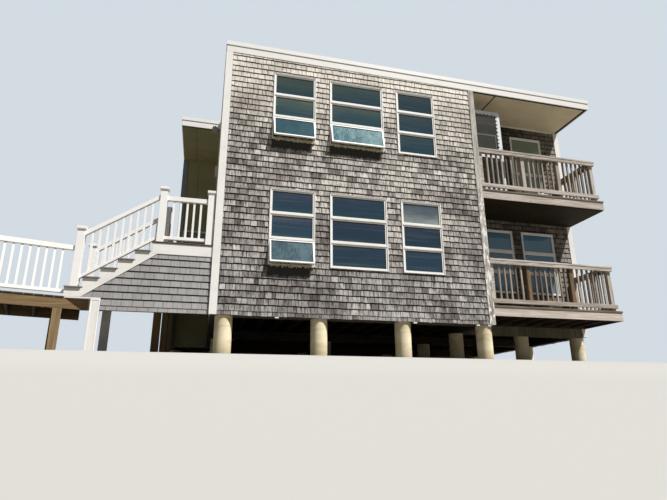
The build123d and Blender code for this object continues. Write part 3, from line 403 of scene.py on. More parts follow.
MATERIALS = {
    # Bare cedar goes silver-grey, each shingle in its own tone, bleached at the top
    "old_shingle": shingle_cedar(
        "weathered_cedar_shingle",
        [(0.0, "#857d79"), (0.14, "#a7a09b"), (0.45, "#c4bfb8"), (0.8, "#d8d3cb"), (1.0, "#ebe6dd")],
        "#4b4644", 1.0, "#2a2724", 0.9),
    # Cedar out of the rain keeps more brown and goes dull with mildew; painted shade darkens it further
    "sheltered_shingle": shingle_cedar(
        "sheltered_cedar_shingle",
        [(0.0, "#958c83"), (0.3, "#bfb7ad"), (1.0, "#e0d9cf")], "#4d4743", 0.9, "#2e2a26", 0.3, 0.9),
    # Stained shingles are one even mid grey with black joints
    "new_shingle": shingle_cedar(
        "grey_stained_shingle",
        [(0.0, "#a5a4a3"), (0.5, "#acabaa"), (1.0, "#b3b2b1")], "#93908c", 0.3, "#2b2928", 0.0),
    # Old pine goes pale grey with dark open grain and brown knots
    "weathered_pine": board_material(
        "weathered_pine",
        [(0.0, "#d2c6b8"), (0.5, "#e9dfd3"), (1.0, "#f7efe5")], "#62564b", 0.75, 0.85, 0.0018, 0.45),
    # Younger pine is paler and warmer, with finer grain
    "newer_pine": board_material(
        "bleached_newer_pine",
        [(0.0, "#e9ddd0"), (1.0, "#faf1e8")], "#75675b", 0.6, 0.82, 0.0014, 0.35),
    # Feet and wet wear the decking down to a dull brown grey
    "trodden_pine": board_material(
        "trodden_weathered_pine", [(0.0, "#94887a"), (1.0, "#b3a798")], "#5f5449", 0.8, 0.88, 0.0018, 0.4),
    # Posts renewed later still show their brown
    "brown_pine": board_material(
        "brown_weathered_pine", [(0.0, "#8f7759"), (1.0, "#a68c6b")], "#4c3b28", 0.8, 0.85, 0.0018, 0.5),
    # The undersides are dark brown: pine kept brown out of the weather, and painted shade
    "shade_painted_pine": board_material(
        "sheltered_brown_pine_painted_shade", [(0.0, "#46382b"), (1.0, "#5c4a39")], "#241b13", 0.7, 0.88, 0.0016, 0.4),
    # Treated framing keeps a tan tone with strong grain
    "tan_framing": board_material(
        "pressure_treated_pine", [(0.0, "#8d7654"), (1.0, "#a58d66")], "#5d4a30", 0.6, 0.88, 0.0016, 0.5),
    # White trim paint: near white, a faint sheen, a little soiled
    "trim_paint": board_material(
        "painted_trim_board",
        [(0.0, "#f4f3f0"), (1.0, "#f9f8f5")], "#d0ccc0", 0.2, 0.5, 0.0005, 0.0, 0.16),
    # Slate blue paint on the porch's corner, a little chalky
    "slate_paint": plain_skin("slate_blue_trim_paint", "#808a92", "#6f7880", 0.5, (3, 3, 3), 0.6),
    # Bare grey cedar, with white paint still on its lower half
    "peeling_trim": board_material(
        "bare_cedar_trim_board",
        [(0.0, "#e9e5dd"), (1.0, "#f4f0e9")], "#7d776c", 0.9, 0.8, 0.0014, 0.2, 0.75, 0.9),
    # Vinyl is whiter and glossier than the painted trim
    "rail_vinyl": plain_skin("railing_vinyl", "#f9f8f5", "#e9e6dd", 0.5, (2.5, 2.5, 3.5), 0.34, 0.0002),
    # Window vinyl: slightly greener white, smooth
    "frame_vinyl": plain_skin("window_frame_vinyl", "#f5f5f1", "#dddbd0", 0.6, (3, 3, 4), 0.38, 0.0002),
    # Split balusters differ in tone from one to the next
    "baluster_pine": board_material(
        "split_pine_baluster",
        [(0.0, "#8f8375"), (0.35, "#b9ac9d"), (0.7, "#ddd1c3"), (1.0, "#efe5d9")],
        "#5d5146", 0.9, 0.85, 0.0018, 0.45),
    # Plywood almost black brown: painted shade under the upper balcony
    "ceiling_ply": painted_plywood("ceiling_plywood_painted_shade", "#1c1508", "#2c220f"),
    # Perished sealant: yellowish cream crumbs on dark olive dirt
    "perished_sealant": plain_skin("perished_window_sealant", "#e3dfc4", "#6b6849", 0.9, (55, 55, 90), 0.95,
                                   0.004),
    # Composite boards: even grey brown with a fine grain
    "deck_grey": board_material(
        "grey_composite_board", [(0.0, "#87827c"), (1.0, "#99938b")], "#5d574f", 0.55, 0.8, 0.0009),
    # Rough-sawn framing in the shade: dark brown
    "framing": board_material(
        "rough_sawn_framing", [(0.0, "#4b3e31"), (1.0, "#5f4f3f")], "#2c241b", 0.7, 0.9, 0.0016, 0.4),
    # Olive grey boards at the foot, with rain dirt
    "base_board": board_material(
        "weathered_base_board", [(0.0, "#7c785f"), (1.0, "#918c74")], "#4e4a38", 0.6, 0.88, 0.0012, 0.0, 0.3),
    # The liner's olive mildew
    "liner_board": board_material(
        "mildewed_liner_board", [(0.0, "#4a4733"), (1.0, "#5a5640")], "#25231a", 0.8, 0.9, 0.0012, 0.0, 0.5),
    # Tarred sheathing makes the joints between shingles black
    "sheathing": plain_skin("tarred_sheathing", "#2e2a26", "#3d372f", 0.6, (2, 2, 2), 0.9),
    # Pale buff concrete with a damp foot
    "concrete": pier_concrete(),
    # Dark panes in teal and navy, a painted reflection, that also mirror softly
    "glass": window_glass(),
    # Grey mineral grit over bitumen
    "roof": roof_membrane(),
    # Cream paint, matt, a little blotchy
    "soffit": painted_plywood("painted_soffit_plywood", "#dbcfb0", "#eee3c7"),
    # Olive paint, blotchy and matt
    "porch_soffit": painted_plywood("dark_painted_plywood", "#9a966f", "#a9a47d"),
    # An open joint reads as a near-black line
    "joint_shadow": plain_skin("open_joint", "#191612", "#262019", 0.5, (4, 4, 4), 0.95),
    # White coated metal, smooth and a little shiny
    "drip_metal": plain_skin("coated_aluminium_drip_edge", "#f1f1ee", "#dcdbd5", 0.5, (2, 2, 2), 0.35,
                             0.0001),
    # Pale cool metal with grey streaks
    "storm_frame": plain_skin("anodised_storm_door_frame", "#e3e6ea", "#a9b1ba", 0.6, (6, 6, 5), 0.42,
                              0.0003),
    # Smoky screen that lets the door behind show through
    "storm_glazing": screen_mesh(),
    # Even grey paint with a low sheen
    "door_paint": board_material(
        "painted_door", [(0.0, "#8b8f8a"), (1.0, "#8b8f8a")], "#6a6d68", 0.3, 0.5, 0.0004, 0.0, 0.2),
    # Dull grey metal with a spangle
    "zinc": plain_skin("galvanised_steel", "#b4b6b5", "#8c8f8f", 0.7, (30, 30, 30), 0.42, 0.0001,
                       Metallic=1.0),
    # Black, matt line round each pane
    "rubber": plain_skin("black_rubber_gasket", "#232424", "#33322f", 0.5, (20, 20, 20), 0.7),
    # Grey enamel with a soft sheen
    "lamp_grey": plain_skin("grey_enamelled_steel", "#9b9b97", "#75746e", 0.5, (12, 12, 12), 0.45),
    # Dark dull grey metal, partly aged and partly painted shade
    "dull_metal": plain_skin("dulled_aluminium_painted_shade", "#4d4c45", "#3c3b35", 0.5, (12, 12, 12), 0.6),
    # Ragged near-black bitumen: the roof's lap lines, and under the open sashes painted shadow
    "flashing": plain_skin("bitumen_flashing_and_painted_shadow", "#282521", "#37332d", 0.6, (20, 20, 6), 0.9, 0.003),
    # Frosted glass: pale, softly shiny
    "lamp_glass": plain_skin("frosted_lamp_glass", "#d8d8d0", "#b9b8ab", 0.4, (9, 9, 9), 0.35, 0.0001,
                             Specular_IOR_Level=0.6),
}


def own_corners(mesh):
    """Vertex places of a mesh as one array."""
    flat = np.zeros(len(mesh.vertices) * 3)
    mesh.vertices.foreach_get("co", flat)
    return flat.reshape(-1, 3)


def part_numbers(mesh):
    """For each vertex, the number of the connected part that it belongs to."""
    owner = np.arange(len(mesh.vertices))
    ends = np.zeros(len(mesh.edges) * 2, int)
    mesh.edges.foreach_get("vertices", ends)
    a, b = ends.reshape(-1, 2).T
    while True:
        low = np.minimum(owner[a], owner[b])
        before = owner.copy()
        np.minimum.at(owner, a, low)
        np.minimum.at(owner, b, low)
        owner = owner[owner]
        if (owner == before).all():
            return np.unique(owner, return_inverse=True)[1]


def activate(piece):
    bpy.ops.object.select_all(action="DESELECT")
    piece.select_set(True)
    bpy.context.view_layer.objects.active = piece


def merged_copy(node_name, name):
    """A copy of a CAD node with its loose triangles joined to clean faces."""
    piece = bpy.data.objects.new(name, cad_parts[node_name].data.copy())
    bpy.context.scene.collection.objects.link(piece)
    activate(piece)
    bpy.ops.object.mode_set(mode="EDIT")
    bpy.ops.mesh.select_all(action="SELECT")
    bpy.ops.mesh.remove_doubles(threshold=0.00002)
    bpy.ops.mesh.dissolve_limited(angle_limit=math.radians(1))
    bpy.ops.object.mode_set(mode="OBJECT")
    bpy.ops.mesh.customdata_custom_splitnormals_clear()
    return piece


def solid_boxes(node_name):
    """The low and high corner of each solid of a CAD node, as an array of pairs."""
    piece = merged_copy(node_name, "measured")
    co, owner = own_corners(piece.data), part_numbers(piece.data)
    boxes = np.array([(co[owner == i].min(0), co[owner == i].max(0)) for i in range(owner.max() + 1)])
    bpy.data.objects.remove(piece)
    return boxes


def lay_grain(piece, seed):
    """Stores, for each vertex, its place along and across its own board, and a tone for the board."""
    co, owner = own_corners(piece.data), part_numbers(piece.data)
    rng = np.random.default_rng(seed)
    grain, board = np.zeros_like(co), np.zeros(len(co))
    for i in range(owner.max() + 1):
        mine = owner == i
        centred = co[mine] - co[mine].mean(0)
        turned = np.linalg.eigh(centred.T @ centred)[1][:, ::-1]
        grain[mine] = centred @ turned + rng.uniform(-20, 20, 3)
        board[mine] = rng.random()
    data = piece.data
    data.attributes.new("grain", "FLOAT_VECTOR", "POINT").data.foreach_set("vector", grain.ravel())
    data.attributes.new("board", "FLOAT", "POINT").data.foreach_set("value", board)


def settle(piece, material, smooth=False):
    """Gives a piece its material and shading and lets it ride with the building."""
    piece.data.materials.clear()
    piece.data.materials.append(MATERIALS[material])
    activate(piece)
    if smooth:
        bpy.ops.object.shade_smooth_by_angle(angle=math.radians(35))
    else:
        bpy.ops.object.shade_flat()
    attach(piece, "root")
    return piece


def shelter(piece, material, outer_sides, depth=0.012):
    """Gives the faces that no rain or sun reaches their own, darker material, which is painted shade there;
    outer_sides are the open sides' normals, and depth is how far in from there a face still counts as outer."""
    piece.data.materials.append(MATERIALS[material])
    co = own_corners(piece.data)
    low, high = co.min(0), co.max(0)
    for face in piece.data.polygons:
        open_air = face.normal.z > 0.3
        for side in outer_sides:
            side = np.array(side)
            reach = (high if side.sum() > 0 else low)[abs(side) > 0][0]
            there = np.array(face.center)[abs(side) > 0][0]
            open_air |= bool(np.dot(side, face.normal) > 0.3 and abs(there - reach) < depth)
        face.material_index = 0 if open_air else 1


def dress_boards(node_name, material, edge, seed):
    """A copy of a CAD node with eased edges and its grain laid along each board stands for the node."""
    piece = merged_copy(node_name, node_name + "_boards")
    ease = piece.modifiers.new("eased_edges", "BEVEL")
    ease.width = edge
    ease.segments = 1
    ease.limit_method = "ANGLE"
    ease.angle_limit = math.radians(30)
    ease.use_clamp_overlap = True
    bpy.ops.object.modifier_apply(modifier=ease.name)
    lay_grain(piece, seed)
    settle(piece, material)
    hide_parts(node_name)
    return piece


def paint_node(node_name, material):
    """Puts a material on a CAD node whose shape is right as it is."""
    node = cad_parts[node_name]
    node.data.materials.clear()
    node.data.materials.append(MATERIALS[material])


class Wall:
    """The outside of one wall: s runs to the right as seen from outside, z is up, and outside is -y."""

    def __init__(self, node_name, turn):
        low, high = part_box(node_name)
        corner = {0: (low.x, low.y), 90: (high.x, low.y), 180: (high.x, high.y), -90: (low.x, high.y)}[turn]
        self.name = node_name
        self.place = Matrix.Translation((corner[0], corner[1],
                                         0)) @ Matrix.Rotation(math.radians(turn), 4, "Z")
        self.length = high.x - low.x if turn in (0, 180) else high.y - low.y
        self.low = low.z

    def cuts(self):
        """What stands in the shingles' way on this wall, as (s0, s1, z0, z1)."""
        inverse = np.array(self.place.inverted())
        found = []
        for low, high in TRIM_BOXES:
            corners = np.array([low, high]) @ inverse[:3, :3].T + inverse[:3, 3]
            (s0, y0, z0), (s1, y1, z1) = corners.min(0), corners.max(0)
            if y1 > -BUTT_THICK and y0 < -CUT_CLEAR and s1 > 0 and s0 < self.length:
                found.append((s0 - CUT_CLEAR, s1 + CUT_CLEAR, z0 - CUT_CLEAR, z1 + CUT_CLEAR))
        return found


def cut_away(s0, s1, z0, z1, cuts):
    """The rectangles that are left of one shingle's exposure after the cuts."""
    left = [(s0, s1, z0, z1)]
    for a, b, c, d in cuts:
        kept = []
        for p, q, r, t in left:
            if a >= q or b <= p or c >= t or d <= r:
                kept.append((p, q, r, t))
                continue
            if a > p:
                kept.append((p, a, r, t))
            if b < q:
                kept.append((b, q, r, t))
            if c > r:
                kept.append((max(a, p), min(b, q), r, c))
            if d < t:
                kept.append((max(a, p), min(b, q), d, t))
        left = kept
    return [r for r in left if r[1] - r[0] > 0.008 and r[3] - r[2] > 0.006]


def model_shingle():
    """One shingle, one unit wide and tall, modelled once: a wedge with a middle line so that it can cup."""
    bpy.ops.mesh.primitive_cube_add(size=1, location=(0.5, 0.5, 0.5))
    piece = bpy.context.object
    bpy.ops.object.transform_apply(location=True)
    bpy.ops.object.mode_set(mode="EDIT")
    bpy.ops.mesh.select_all(action="SELECT")
    bpy.ops.mesh.bisect(plane_co=(0.5, 0, 0), plane_no=(1, 0, 0))
    bpy.ops.object.mode_set(mode="OBJECT")
    co = own_corners(piece.data)
    faces = [list(p.vertices) for p in piece.data.polygons]
    bpy.data.objects.remove(piece)
    return co, faces


SHINGLE_CO, SHINGLE_FACES = model_shingle()


def lay_shingles(wall, material, widths, seed, uneven, planes):
    """Courses of shingles over one wall as one joined mesh, cut round what is on it and under the planes;
    uneven is 1 for old shingles and near 0 for new ones, which lie straighter."""
    rng = np.random.default_rng(seed)
    cuts = wall.cuts()
    top = max((wall.place.inverted() @ Vector(p[0])).z for p in planes) + EXPOSURE
    rows = []
    z = wall.low
    next_z = wall.low + FIRST_COURSE
    while z < top:
        wave = rng.uniform(-1, 1, 3) * uneven
        s = -rng.uniform(0, widths[1])
        while s < wall.length:
            wide = widths[0] + (widths[1] - widths[0]) * rng.random() ** 1.4
            gap = rng.uniform(*SHINGLE_GAPS) * (0.3 + 0.7 * uneven)
            a, b = max(s, 0.0), min(s + wide - gap, wall.length)
            s += wide
            drop = 0.003 * wave[0] * math.sin(0.9 * a + 3 * wave[1]) + 0.005 * uneven * rng.uniform(-1, 1)
            tone, cup, skew, shift = rng.random(), rng.uniform(-1, 1), rng.uniform(-1, 1), rng.uniform(0, 40)
            if b - a < 0.012:
                continue
            for p, q, r, t in cut_away(a, b, z, next_z, cuts):
                at_butt = r < z + 0.001
                rows.append((p, q, r + drop * at_butt, t, (r - z) / EXPOSURE, (t - z) / EXPOSURE,
                             tone, cup * uneven, skew * uneven * at_butt, shift))
        z, next_z = next_z, next_z + EXPOSURE
    p, q, r, t, f0, f1, tone, cup, skew, shift = (column[:, None] for column in np.array(rows).T)
    u, d, v = SHINGLE_CO.T
    thick = BUTT_THICK + (TIP_THICK - BUTT_THICK) * (f0 + (f1 - f0) * v)
    bulge = 0.0016 * cup * (1 - (2 * u - 1) ** 2) * (1 - v)
    x = p + (q - p) * u
    y = -0.0005 - (1 - d) * (thick + bulge)
    height = r + (t + 0.006 * (f1 > 0.99) - r) * v + 0.0015 * skew * (2 * u - 1) * (1 - v)
    co = np.stack([x, y, height], 2).reshape(-1, 3)
    count = len(rows)
    faces = [[i * len(u) + k for k in face] for i in range(count) for face in SHINGLE_FACES]
    mesh = bpy.data.meshes.new(wall.name + "_shingles")
    mesh.from_pydata(co.tolist(), [], faces)
    face_share = np.broadcast_to(f0 + (f1 - f0) * v, x.shape)
    own = np.stack([np.broadcast_to(tone, x.shape), face_share, np.broadcast_to(shift, x.shape)], 2)
    mesh.attributes.new("tone", "FLOAT_VECTOR", "POINT").data.foreach_set("vector", own.ravel())
    across = np.broadcast_to(u, x.shape)
    mesh.attributes.new("side", "FLOAT", "POINT").data.foreach_set("value", across.ravel())
    mesh.transform(wall.place)
    piece = bpy.data.objects.new(wall.name + "_shingles", mesh)
    bpy.context.scene.collection.objects.link(piece)
    activate(piece)
    bpy.ops.object.mode_set(mode="EDIT")
    for point, normal in planes:
        bpy.ops.mesh.select_all(action="SELECT")
        bpy.ops.mesh.bisect(plane_co=point, plane_no=normal, use_fill=True, clear_outer=True)
    bpy.ops.object.mode_set(mode="OBJECT")
    return settle(piece, material)


def joined_boxes(boxes):
    """Boxes within a millimetre of each other as one, so that a frame's bars give its whole opening."""
    groups = [b.copy() for b in boxes]
    i = 0
    while i < len(groups):
        for k in range(i + 1, len(groups)):
            if (groups[i][0] < groups[k][1] + 0.001).all() and (groups[k][0] < groups[i][1] + 0.001).all():
                groups[i] = np.array([np.minimum(groups[i][0], groups[k][0]),
                                      np.maximum(groups[i][1], groups[k][1])])
                del groups[k]
                i = -1
                break
        i += 1
    return np.array(groups)


TRIM_NODES = ["lower_window_trim", "upper_window_trim", "stair_foot_posts", "white_corner_boards",
              "weathered_corner_board", "recess_base_boards", "upper_balcony_ceiling", "soffit_moulding",
              "wall_lamp", "floodlight", "lower_balcony_frame", "upper_balcony_frame",
              "lower_balcony_decking",
              "upper_balcony_decking", "lower_balcony_railing", "upper_balcony_railing", "deck_boards",
              "deck_frame", "deck_fascia"]
OPENING_NODES = ["lower_window_frames", "upper_window_frames", "door_frames"]
TRIM_BOXES = np.concatenate([solid_boxes(n) for n in TRIM_NODES]
                            + [joined_boxes(solid_boxes(n)) for n in OPENING_NODES])


def under_fascia():
    """The plane just under the fascia, which falls to the right."""
    co = own_corners(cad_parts["roof_fascia"].data)
    left, right = co[:, 0].min(), co[:, 0].max()
    z_left = co[co[:, 0] < left + 0.001][:, 2].min()
    z_right = co[co[:, 0] > right - 0.001][:, 2].min()
    normal = Vector((z_left - z_right, 0, right - left)).normalized()
    return Vector((left, 0, z_left - CUT_CLEAR)), normal


def under_stringer():
    """The planes that end the skirt's shingles: under the deck's edge board and under the stringer."""
    co = own_corners(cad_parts["entry_skirt"].data)
    top = co[:, 2].max()
    turn = co[co[:, 2] > top - 0.001][:, 0].min()
    left = co[co[:, 0] < turn - 0.001]
    toe_z = left[:, 2].max()
    toe_x = left[left[:, 2] > toe_z - 0.001][:, 0].min()
    slope = (top - toe_z) / (turn - toe_x)
    foot = Vector((turn, 0, top - CUT_CLEAR))
    return [(foot, Vector((0, 0, 1))), (foot, Vector((-slope, 0, 1)).normalized())]


FASCIA_PLANE = under_fascia()
WALL_TURNS = {"front_wall": 0, "recess_wall": 0, "entry_wall": 0, "right_wall": 90, "recess_side_wall": 90,
              "back_wall": 180, "left_wall": -90, "wing_wall": -90}
for number, (wall_name, wall_turn) in enumerate(WALL_TURNS.items()):
    if wall_name == "entry_wall":
        paint_node(wall_name, "porch_soffit")
        continue
    cedar = "sheltered_shingle" if wall_name.startswith("recess") else "old_shingle"
    lay_shingles(Wall(wall_name, wall_turn), cedar, SHINGLE_WIDTHS, 11 + number, 1.0, [FASCIA_PLANE])
    paint_node(wall_name, "sheathing")
lay_shingles(Wall("entry_skirt", 0), "new_shingle", NEW_WIDTHS, 31, 0.15, under_stringer())
paint_node("entry_skirt", "sheathing")

dressed = {}
BOARDS = {
    "white_corner_boards": "trim_paint", "weathered_corner_board": "peeling_trim",
          "roof_fascia": "trim_paint",
    "soffit_moulding": "trim_paint", "deck_fascia": "trim_paint", "stair_stringers": "trim_paint",
    "stair_risers": "trim_paint", "stair_foot_posts": "trim_paint", "door_frames": "trim_paint",
    "lower_window_trim": "trim_paint", "upper_window_trim": "trim_paint",
    "upper_balcony_ceiling": "ceiling_ply",
    "lower_balcony_frame": "newer_pine", "upper_balcony_frame": "weathered_pine",
    "lower_balcony_decking": "trodden_pine", "upper_balcony_decking": "trodden_pine",
    "lower_balcony_railing": "weathered_pine", "upper_balcony_railing": "weathered_pine",
    "lower_balcony_balusters": "baluster_pine", "upper_balcony_balusters": "baluster_pine",
    "deck_boards": "deck_grey", "stair_treads": "deck_grey", "deck_frame": "tan_framing",
    "floor_girders": "framing", "floor_joists": "framing", "recess_base_boards": "base_board",
    "doors": "door_paint",
}
for number, (node_name, material_name) in enumerate(BOARDS.items()):
    dressed[node_name] = dress_boards(node_name, material_name, 0.003, 50 + number)
# The sheltered faces of the balconies and the deck get darker pine and framing: painted shade
for storey in ("lower", "upper"):
    shelter(dressed[storey + "_balcony_frame"], "shade_painted_pine", [(0, -1, 0), (1, 0, 0)])
    shelter(dressed[storey + "_balcony_decking"], "shade_painted_pine", [(0, -1, 0), (1, 0, 0)])
shelter(dressed["deck_boards"], "framing", [(0, -1, 0), (-1, 0, 0)])
shelter(dressed["deck_frame"], "framing", [(0, -1, 0), (-1, 0, 0)], 9.0)


def repaint(piece, material, chosen):
    """Gives the connected parts whose box chosen(low, high) picks another material."""
    piece.data.materials.append(MATERIALS[material])
    number = len(piece.data.materials) - 1
    co, owner = own_corners(piece.data), part_numbers(piece.data)
    picked = [bool(chosen(co[owner == i].min(0), co[owner == i].max(0))) for i in range(owner.max() + 1)]
    for face in piece.data.polygons:
        if picked[owner[face.vertices[0]]]:
            face.material_index = number


# The two middle posts of the lower balcony are newer and browner; the porch's trim is painted dark
rail_low, rail_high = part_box("lower_balcony_railing")
repaint(dressed["lower_balcony_railing"], "brown_pine",
        lambda low, high: high[2] - low[2] > 0.8 and high[1] < rail_low.y + 0.2
        and rail_low.x + 0.3 < low[0] < rail_high.x - 0.3)
repaint(dressed["white_corner_boards"], "slate_paint",
        lambda low, high: high[0] < wall_corner.x - 0.3 and low[1] < 2)
repaint(dressed["soffit_moulding"], "porch_soffit", lambda low, high: high[0] < wall_corner.x)
for node_name, material_name in {
        "lower_window_frames": "frame_vinyl", "upper_window_frames": "frame_vinyl",
        "lower_window_sashes": "frame_vinyl", "upper_window_sashes": "frame_vinyl",
        "white_newels": "rail_vinyl", "white_rails": "rail_vinyl", "white_balusters": "rail_vinyl",
        "drip_edge": "drip_metal", "storm_door": "storm_frame"}.items():
    dress_boards(node_name, material_name, 0.002, 90)

for node_name, material_name in {
        "storm_door_panes": "storm_glazing",
        "piers": "concrete", "roof_deck": "roof", "roof_spout": "drip_metal",
        "lower_floor": "framing", "upper_floor": "framing", "entry_landing": "framing",
        "wall_lamp": "lamp_glass", "floodlight": "lamp_grey"}.items():
    paint_node(node_name, material_name)


def dress_soffits():
    """The balcony's soffit is cream; the porch's gets the dark olive of its wall, partly as painted shade."""
    piece = merged_copy("soffits", "soffit_panels")
    settle(piece, "soffit")
    piece.data.materials.append(MATERIALS["porch_soffit"])
    for face in piece.data.polygons:
        face.material_index = int(face.center.x < wall_corner.x)
    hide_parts("soffits")


dress_soffits()


def model_box():
    """One unit box round the origin, modelled once; the small fittings below repeat it."""
    bpy.ops.mesh.primitive_cube_add(size=1)
    piece = bpy.context.object
    co = own_corners(piece.data)
    faces = [list(f.vertices) for f in piece.data.polygons]
    bpy.data.objects.remove(piece)
    return co, faces


BOX_CO, BOX_FACES = model_box()
UNTURNED = np.eye(3)


def box_set(name, boxes, material, edge=0.0):
    """Many boxes as one piece; each is its centre, its three sizes and the axes it is turned to, as rows."""
    centres, sizes, axes = (np.array(part, float) for part in zip(*boxes))
    co = centres[:, None] + np.einsum("nvi,nij->nvj", BOX_CO[None] * sizes[:, None], axes)
    faces = [[i * len(BOX_CO) + k for k in f] for i in range(len(boxes)) for f in BOX_FACES]
    mesh = bpy.data.meshes.new(name)
    mesh.from_pydata(co.reshape(-1, 3).tolist(), [], faces)
    piece = bpy.data.objects.new(name, mesh)
    bpy.context.scene.collection.objects.link(piece)
    if edge:
        activate(piece)
        ease = piece.modifiers.new("eased_edges", "BEVEL")
        ease.width = edge
        ease.segments = 1
        bpy.ops.object.modifier_apply(modifier=ease.name)
    lay_grain(piece, len(boxes))
    return settle(piece, material)


def between(low, high):
    """A box from its low corner to its high corner, unturned."""
    low, high = np.array(low, float), np.array(high, float)
    return (low + high) / 2, high - low, UNTURNED


def bar(start, end, wide, thick, side):
    """A flat bar from start to end; its width lies along side as nearly as it can."""
    start, end, side = np.array(start, float), np.array(end, float), np.array(side, float)
    length = np.linalg.norm(end - start)
    along = (end - start) / length
    side = side - along * np.dot(side, along)
    side /= np.linalg.norm(side)
    return (start + end) / 2, (length, wide, thick), np.array([along, side, np.cross(along, side)])


def panes(node_name):
    """Each pane of a glass node: centre, level axis, axis up the pane, outward normal, sizes."""
    piece = merged_copy(node_name, "measured")
    co, owner = own_corners(piece.data), part_numbers(piece.data)
    bpy.data.objects.remove(piece)
    found = []
    for i in range(owner.max() + 1):
        corners = co[owner == i]
        centre = corners.mean(0)
        off = corners - corners[0]
        near = off[np.argsort(np.linalg.norm(off, axis=1))][1:]
        edges = [near[0]]
        for e in near[1:]:
            if all(abs(np.dot(e, k)) < 1e-6 for k in edges) and len(edges) < 3:
                edges.append(e)
        thin = edges[0]
        level = max(edges[1:], key=lambda e: abs(e[0]) + abs(e[1]))
        rise = next(e for e in edges[1:] if e is not level)
        sizes = [np.linalg.norm(e) for e in (level, rise, thin)]
        level, rise, thin = (e / np.linalg.norm(e) for e in (level, rise, thin))
        rise = rise if rise[2] > 0 else -rise
        flat = np.array([thin[0], thin[1], 0])
        outward = flat / np.linalg.norm(flat)
        if wall_side(centre, outward) < 0:
            thin = -thin
        found.append((centre, level, rise, thin, sizes))
    return found


def wall_side(centre, outward):
    """Whether outward, a level direction, points out of the building there: 1, or else -1."""
    for wall_name, turn in WALL_TURNS.items():
        low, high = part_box(wall_name)
        if all(low[k] - 0.25 < centre[k] < high[k] + 0.25 for k in range(2)):
            facing = np.array(Matrix.Rotation(math.radians(turn), 3, "Z") @ Vector((0, -1, 0)))
            if abs(np.dot(facing, outward)) > 0.7:
                return math.copysign(1, np.dot(facing, outward))
    return 1


def dress_glass(node_name, seed):
    """A copy of the window glass whose attributes say how far across and up its lite each point is, the
    lite's tone, and what is behind it: 0 a room, 1 a room behind a balcony, 2 a blind."""
    piece = merged_copy(node_name, node_name + "_lites")
    co, owner = own_corners(piece.data), part_numbers(piece.data)
    rng = np.random.default_rng(seed)
    recess_low, recess_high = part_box("recess_wall")
    lite, behind = np.zeros_like(co), np.zeros(len(co))
    for i in range(owner.max() + 1):
        mine = owner == i
        low, high = co[mine].min(0), co[mine].max(0)
        behind[mine] = recess_low.x < low[0] and high[0] < recess_high.x and high[1] < recess_high.y + 0.05
        k = 0 if high[0] - low[0] > high[1] - low[1] else 1
        lite[mine, 0] = (co[mine, k] - low[k]) / (high[k] - low[k])
        lite[mine, 1] = (co[mine, 2] - low[2]) / (high[2] - low[2])
        lite[mine, 2] = rng.random()
    if node_name.startswith("lower"):
        front = (behind < 0.5) & (co[:, 1] < recess_low.y)
        blind = np.argmax(np.where(front, co[:, 0] + 3 * co[:, 2], -99))
        behind[owner == owner[blind]] = 2
    piece.data.attributes.new("lite", "FLOAT_VECTOR", "POINT").data.foreach_set("vector", lite.ravel())
    piece.data.attributes.new("behind", "FLOAT", "POINT").data.foreach_set("value", behind)
    settle(piece, "glass")
    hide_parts(node_name)


dress_glass("lower_window_glass", 5)
dress_glass("upper_window_glass", 8)
GLASS_NODES = ("lower_window_glass", "upper_window_glass")
GASKET_IN = 0.0085
GASKET_WIDE = 0.006
GASKET_PROUD = 0.002
OPEN_TILT = 0.05
STAY_WIDE = 0.016
STAY_THICK = 0.003
STAY_RISE = 0.10


def add_gaskets():
    """Black rubber between each pane and its sash."""
    found = []
    for node_name in GLASS_NODES:
        for centre, level, rise, out, (wide, high, thick) in panes(node_name):
            axes = np.array([level, rise, np.cross(level, rise)])
            face = centre + out * (thick + GASKET_PROUD) / 2
            half_w, half_h = wide / 2 - GASKET_IN, high / 2 - GASKET_IN
            for sign in (-1, 1):
                mid = face + rise * sign * (half_h - GASKET_WIDE / 2)
                found.append((mid, (2 * half_w, GASKET_WIDE, GASKET_PROUD), axes))
                mid = face + level * sign * (half_w - GASKET_WIDE / 2)
                found.append((mid, (GASKET_WIDE, 2 * half_h, GASKET_PROUD), axes))
    box_set("pane_gaskets", found, "rubber")


def open_panes():
    """The panes whose sashes stand open, which shows in their outward normal."""
    return [pane for node_name in GLASS_NODES for pane in panes(node_name) if pane[3][2] >= OPEN_TILT]


def add_stays():
    """Two flat steel stays hold each open sash off its frame."""
    found = []
    for centre, level, rise, out, (wide, high, thick) in open_panes():
        for sign in (-1, 1):
            hold = centre + level * sign * (wide / 2 + 0.022) - rise * (high / 2 - 0.09) - out * 0.022
            root = hold.copy()
            root[1] = wall_corner.y - 0.002
            root[2] += STAY_RISE
            found.append(bar(hold, root, STAY_WIDE, STAY_THICK, (0, 0, 1)))
    box_set("sash_stays", found, "zinc")


LINER_TALL = 0.062
APRON_TALL = 0.034
CRUMB_REACH = 0.016
CRUMBS_PER_METRE = 210
PAINTED_SHADOW_TALL = 0.19
STRIP_WIDE = 0.031


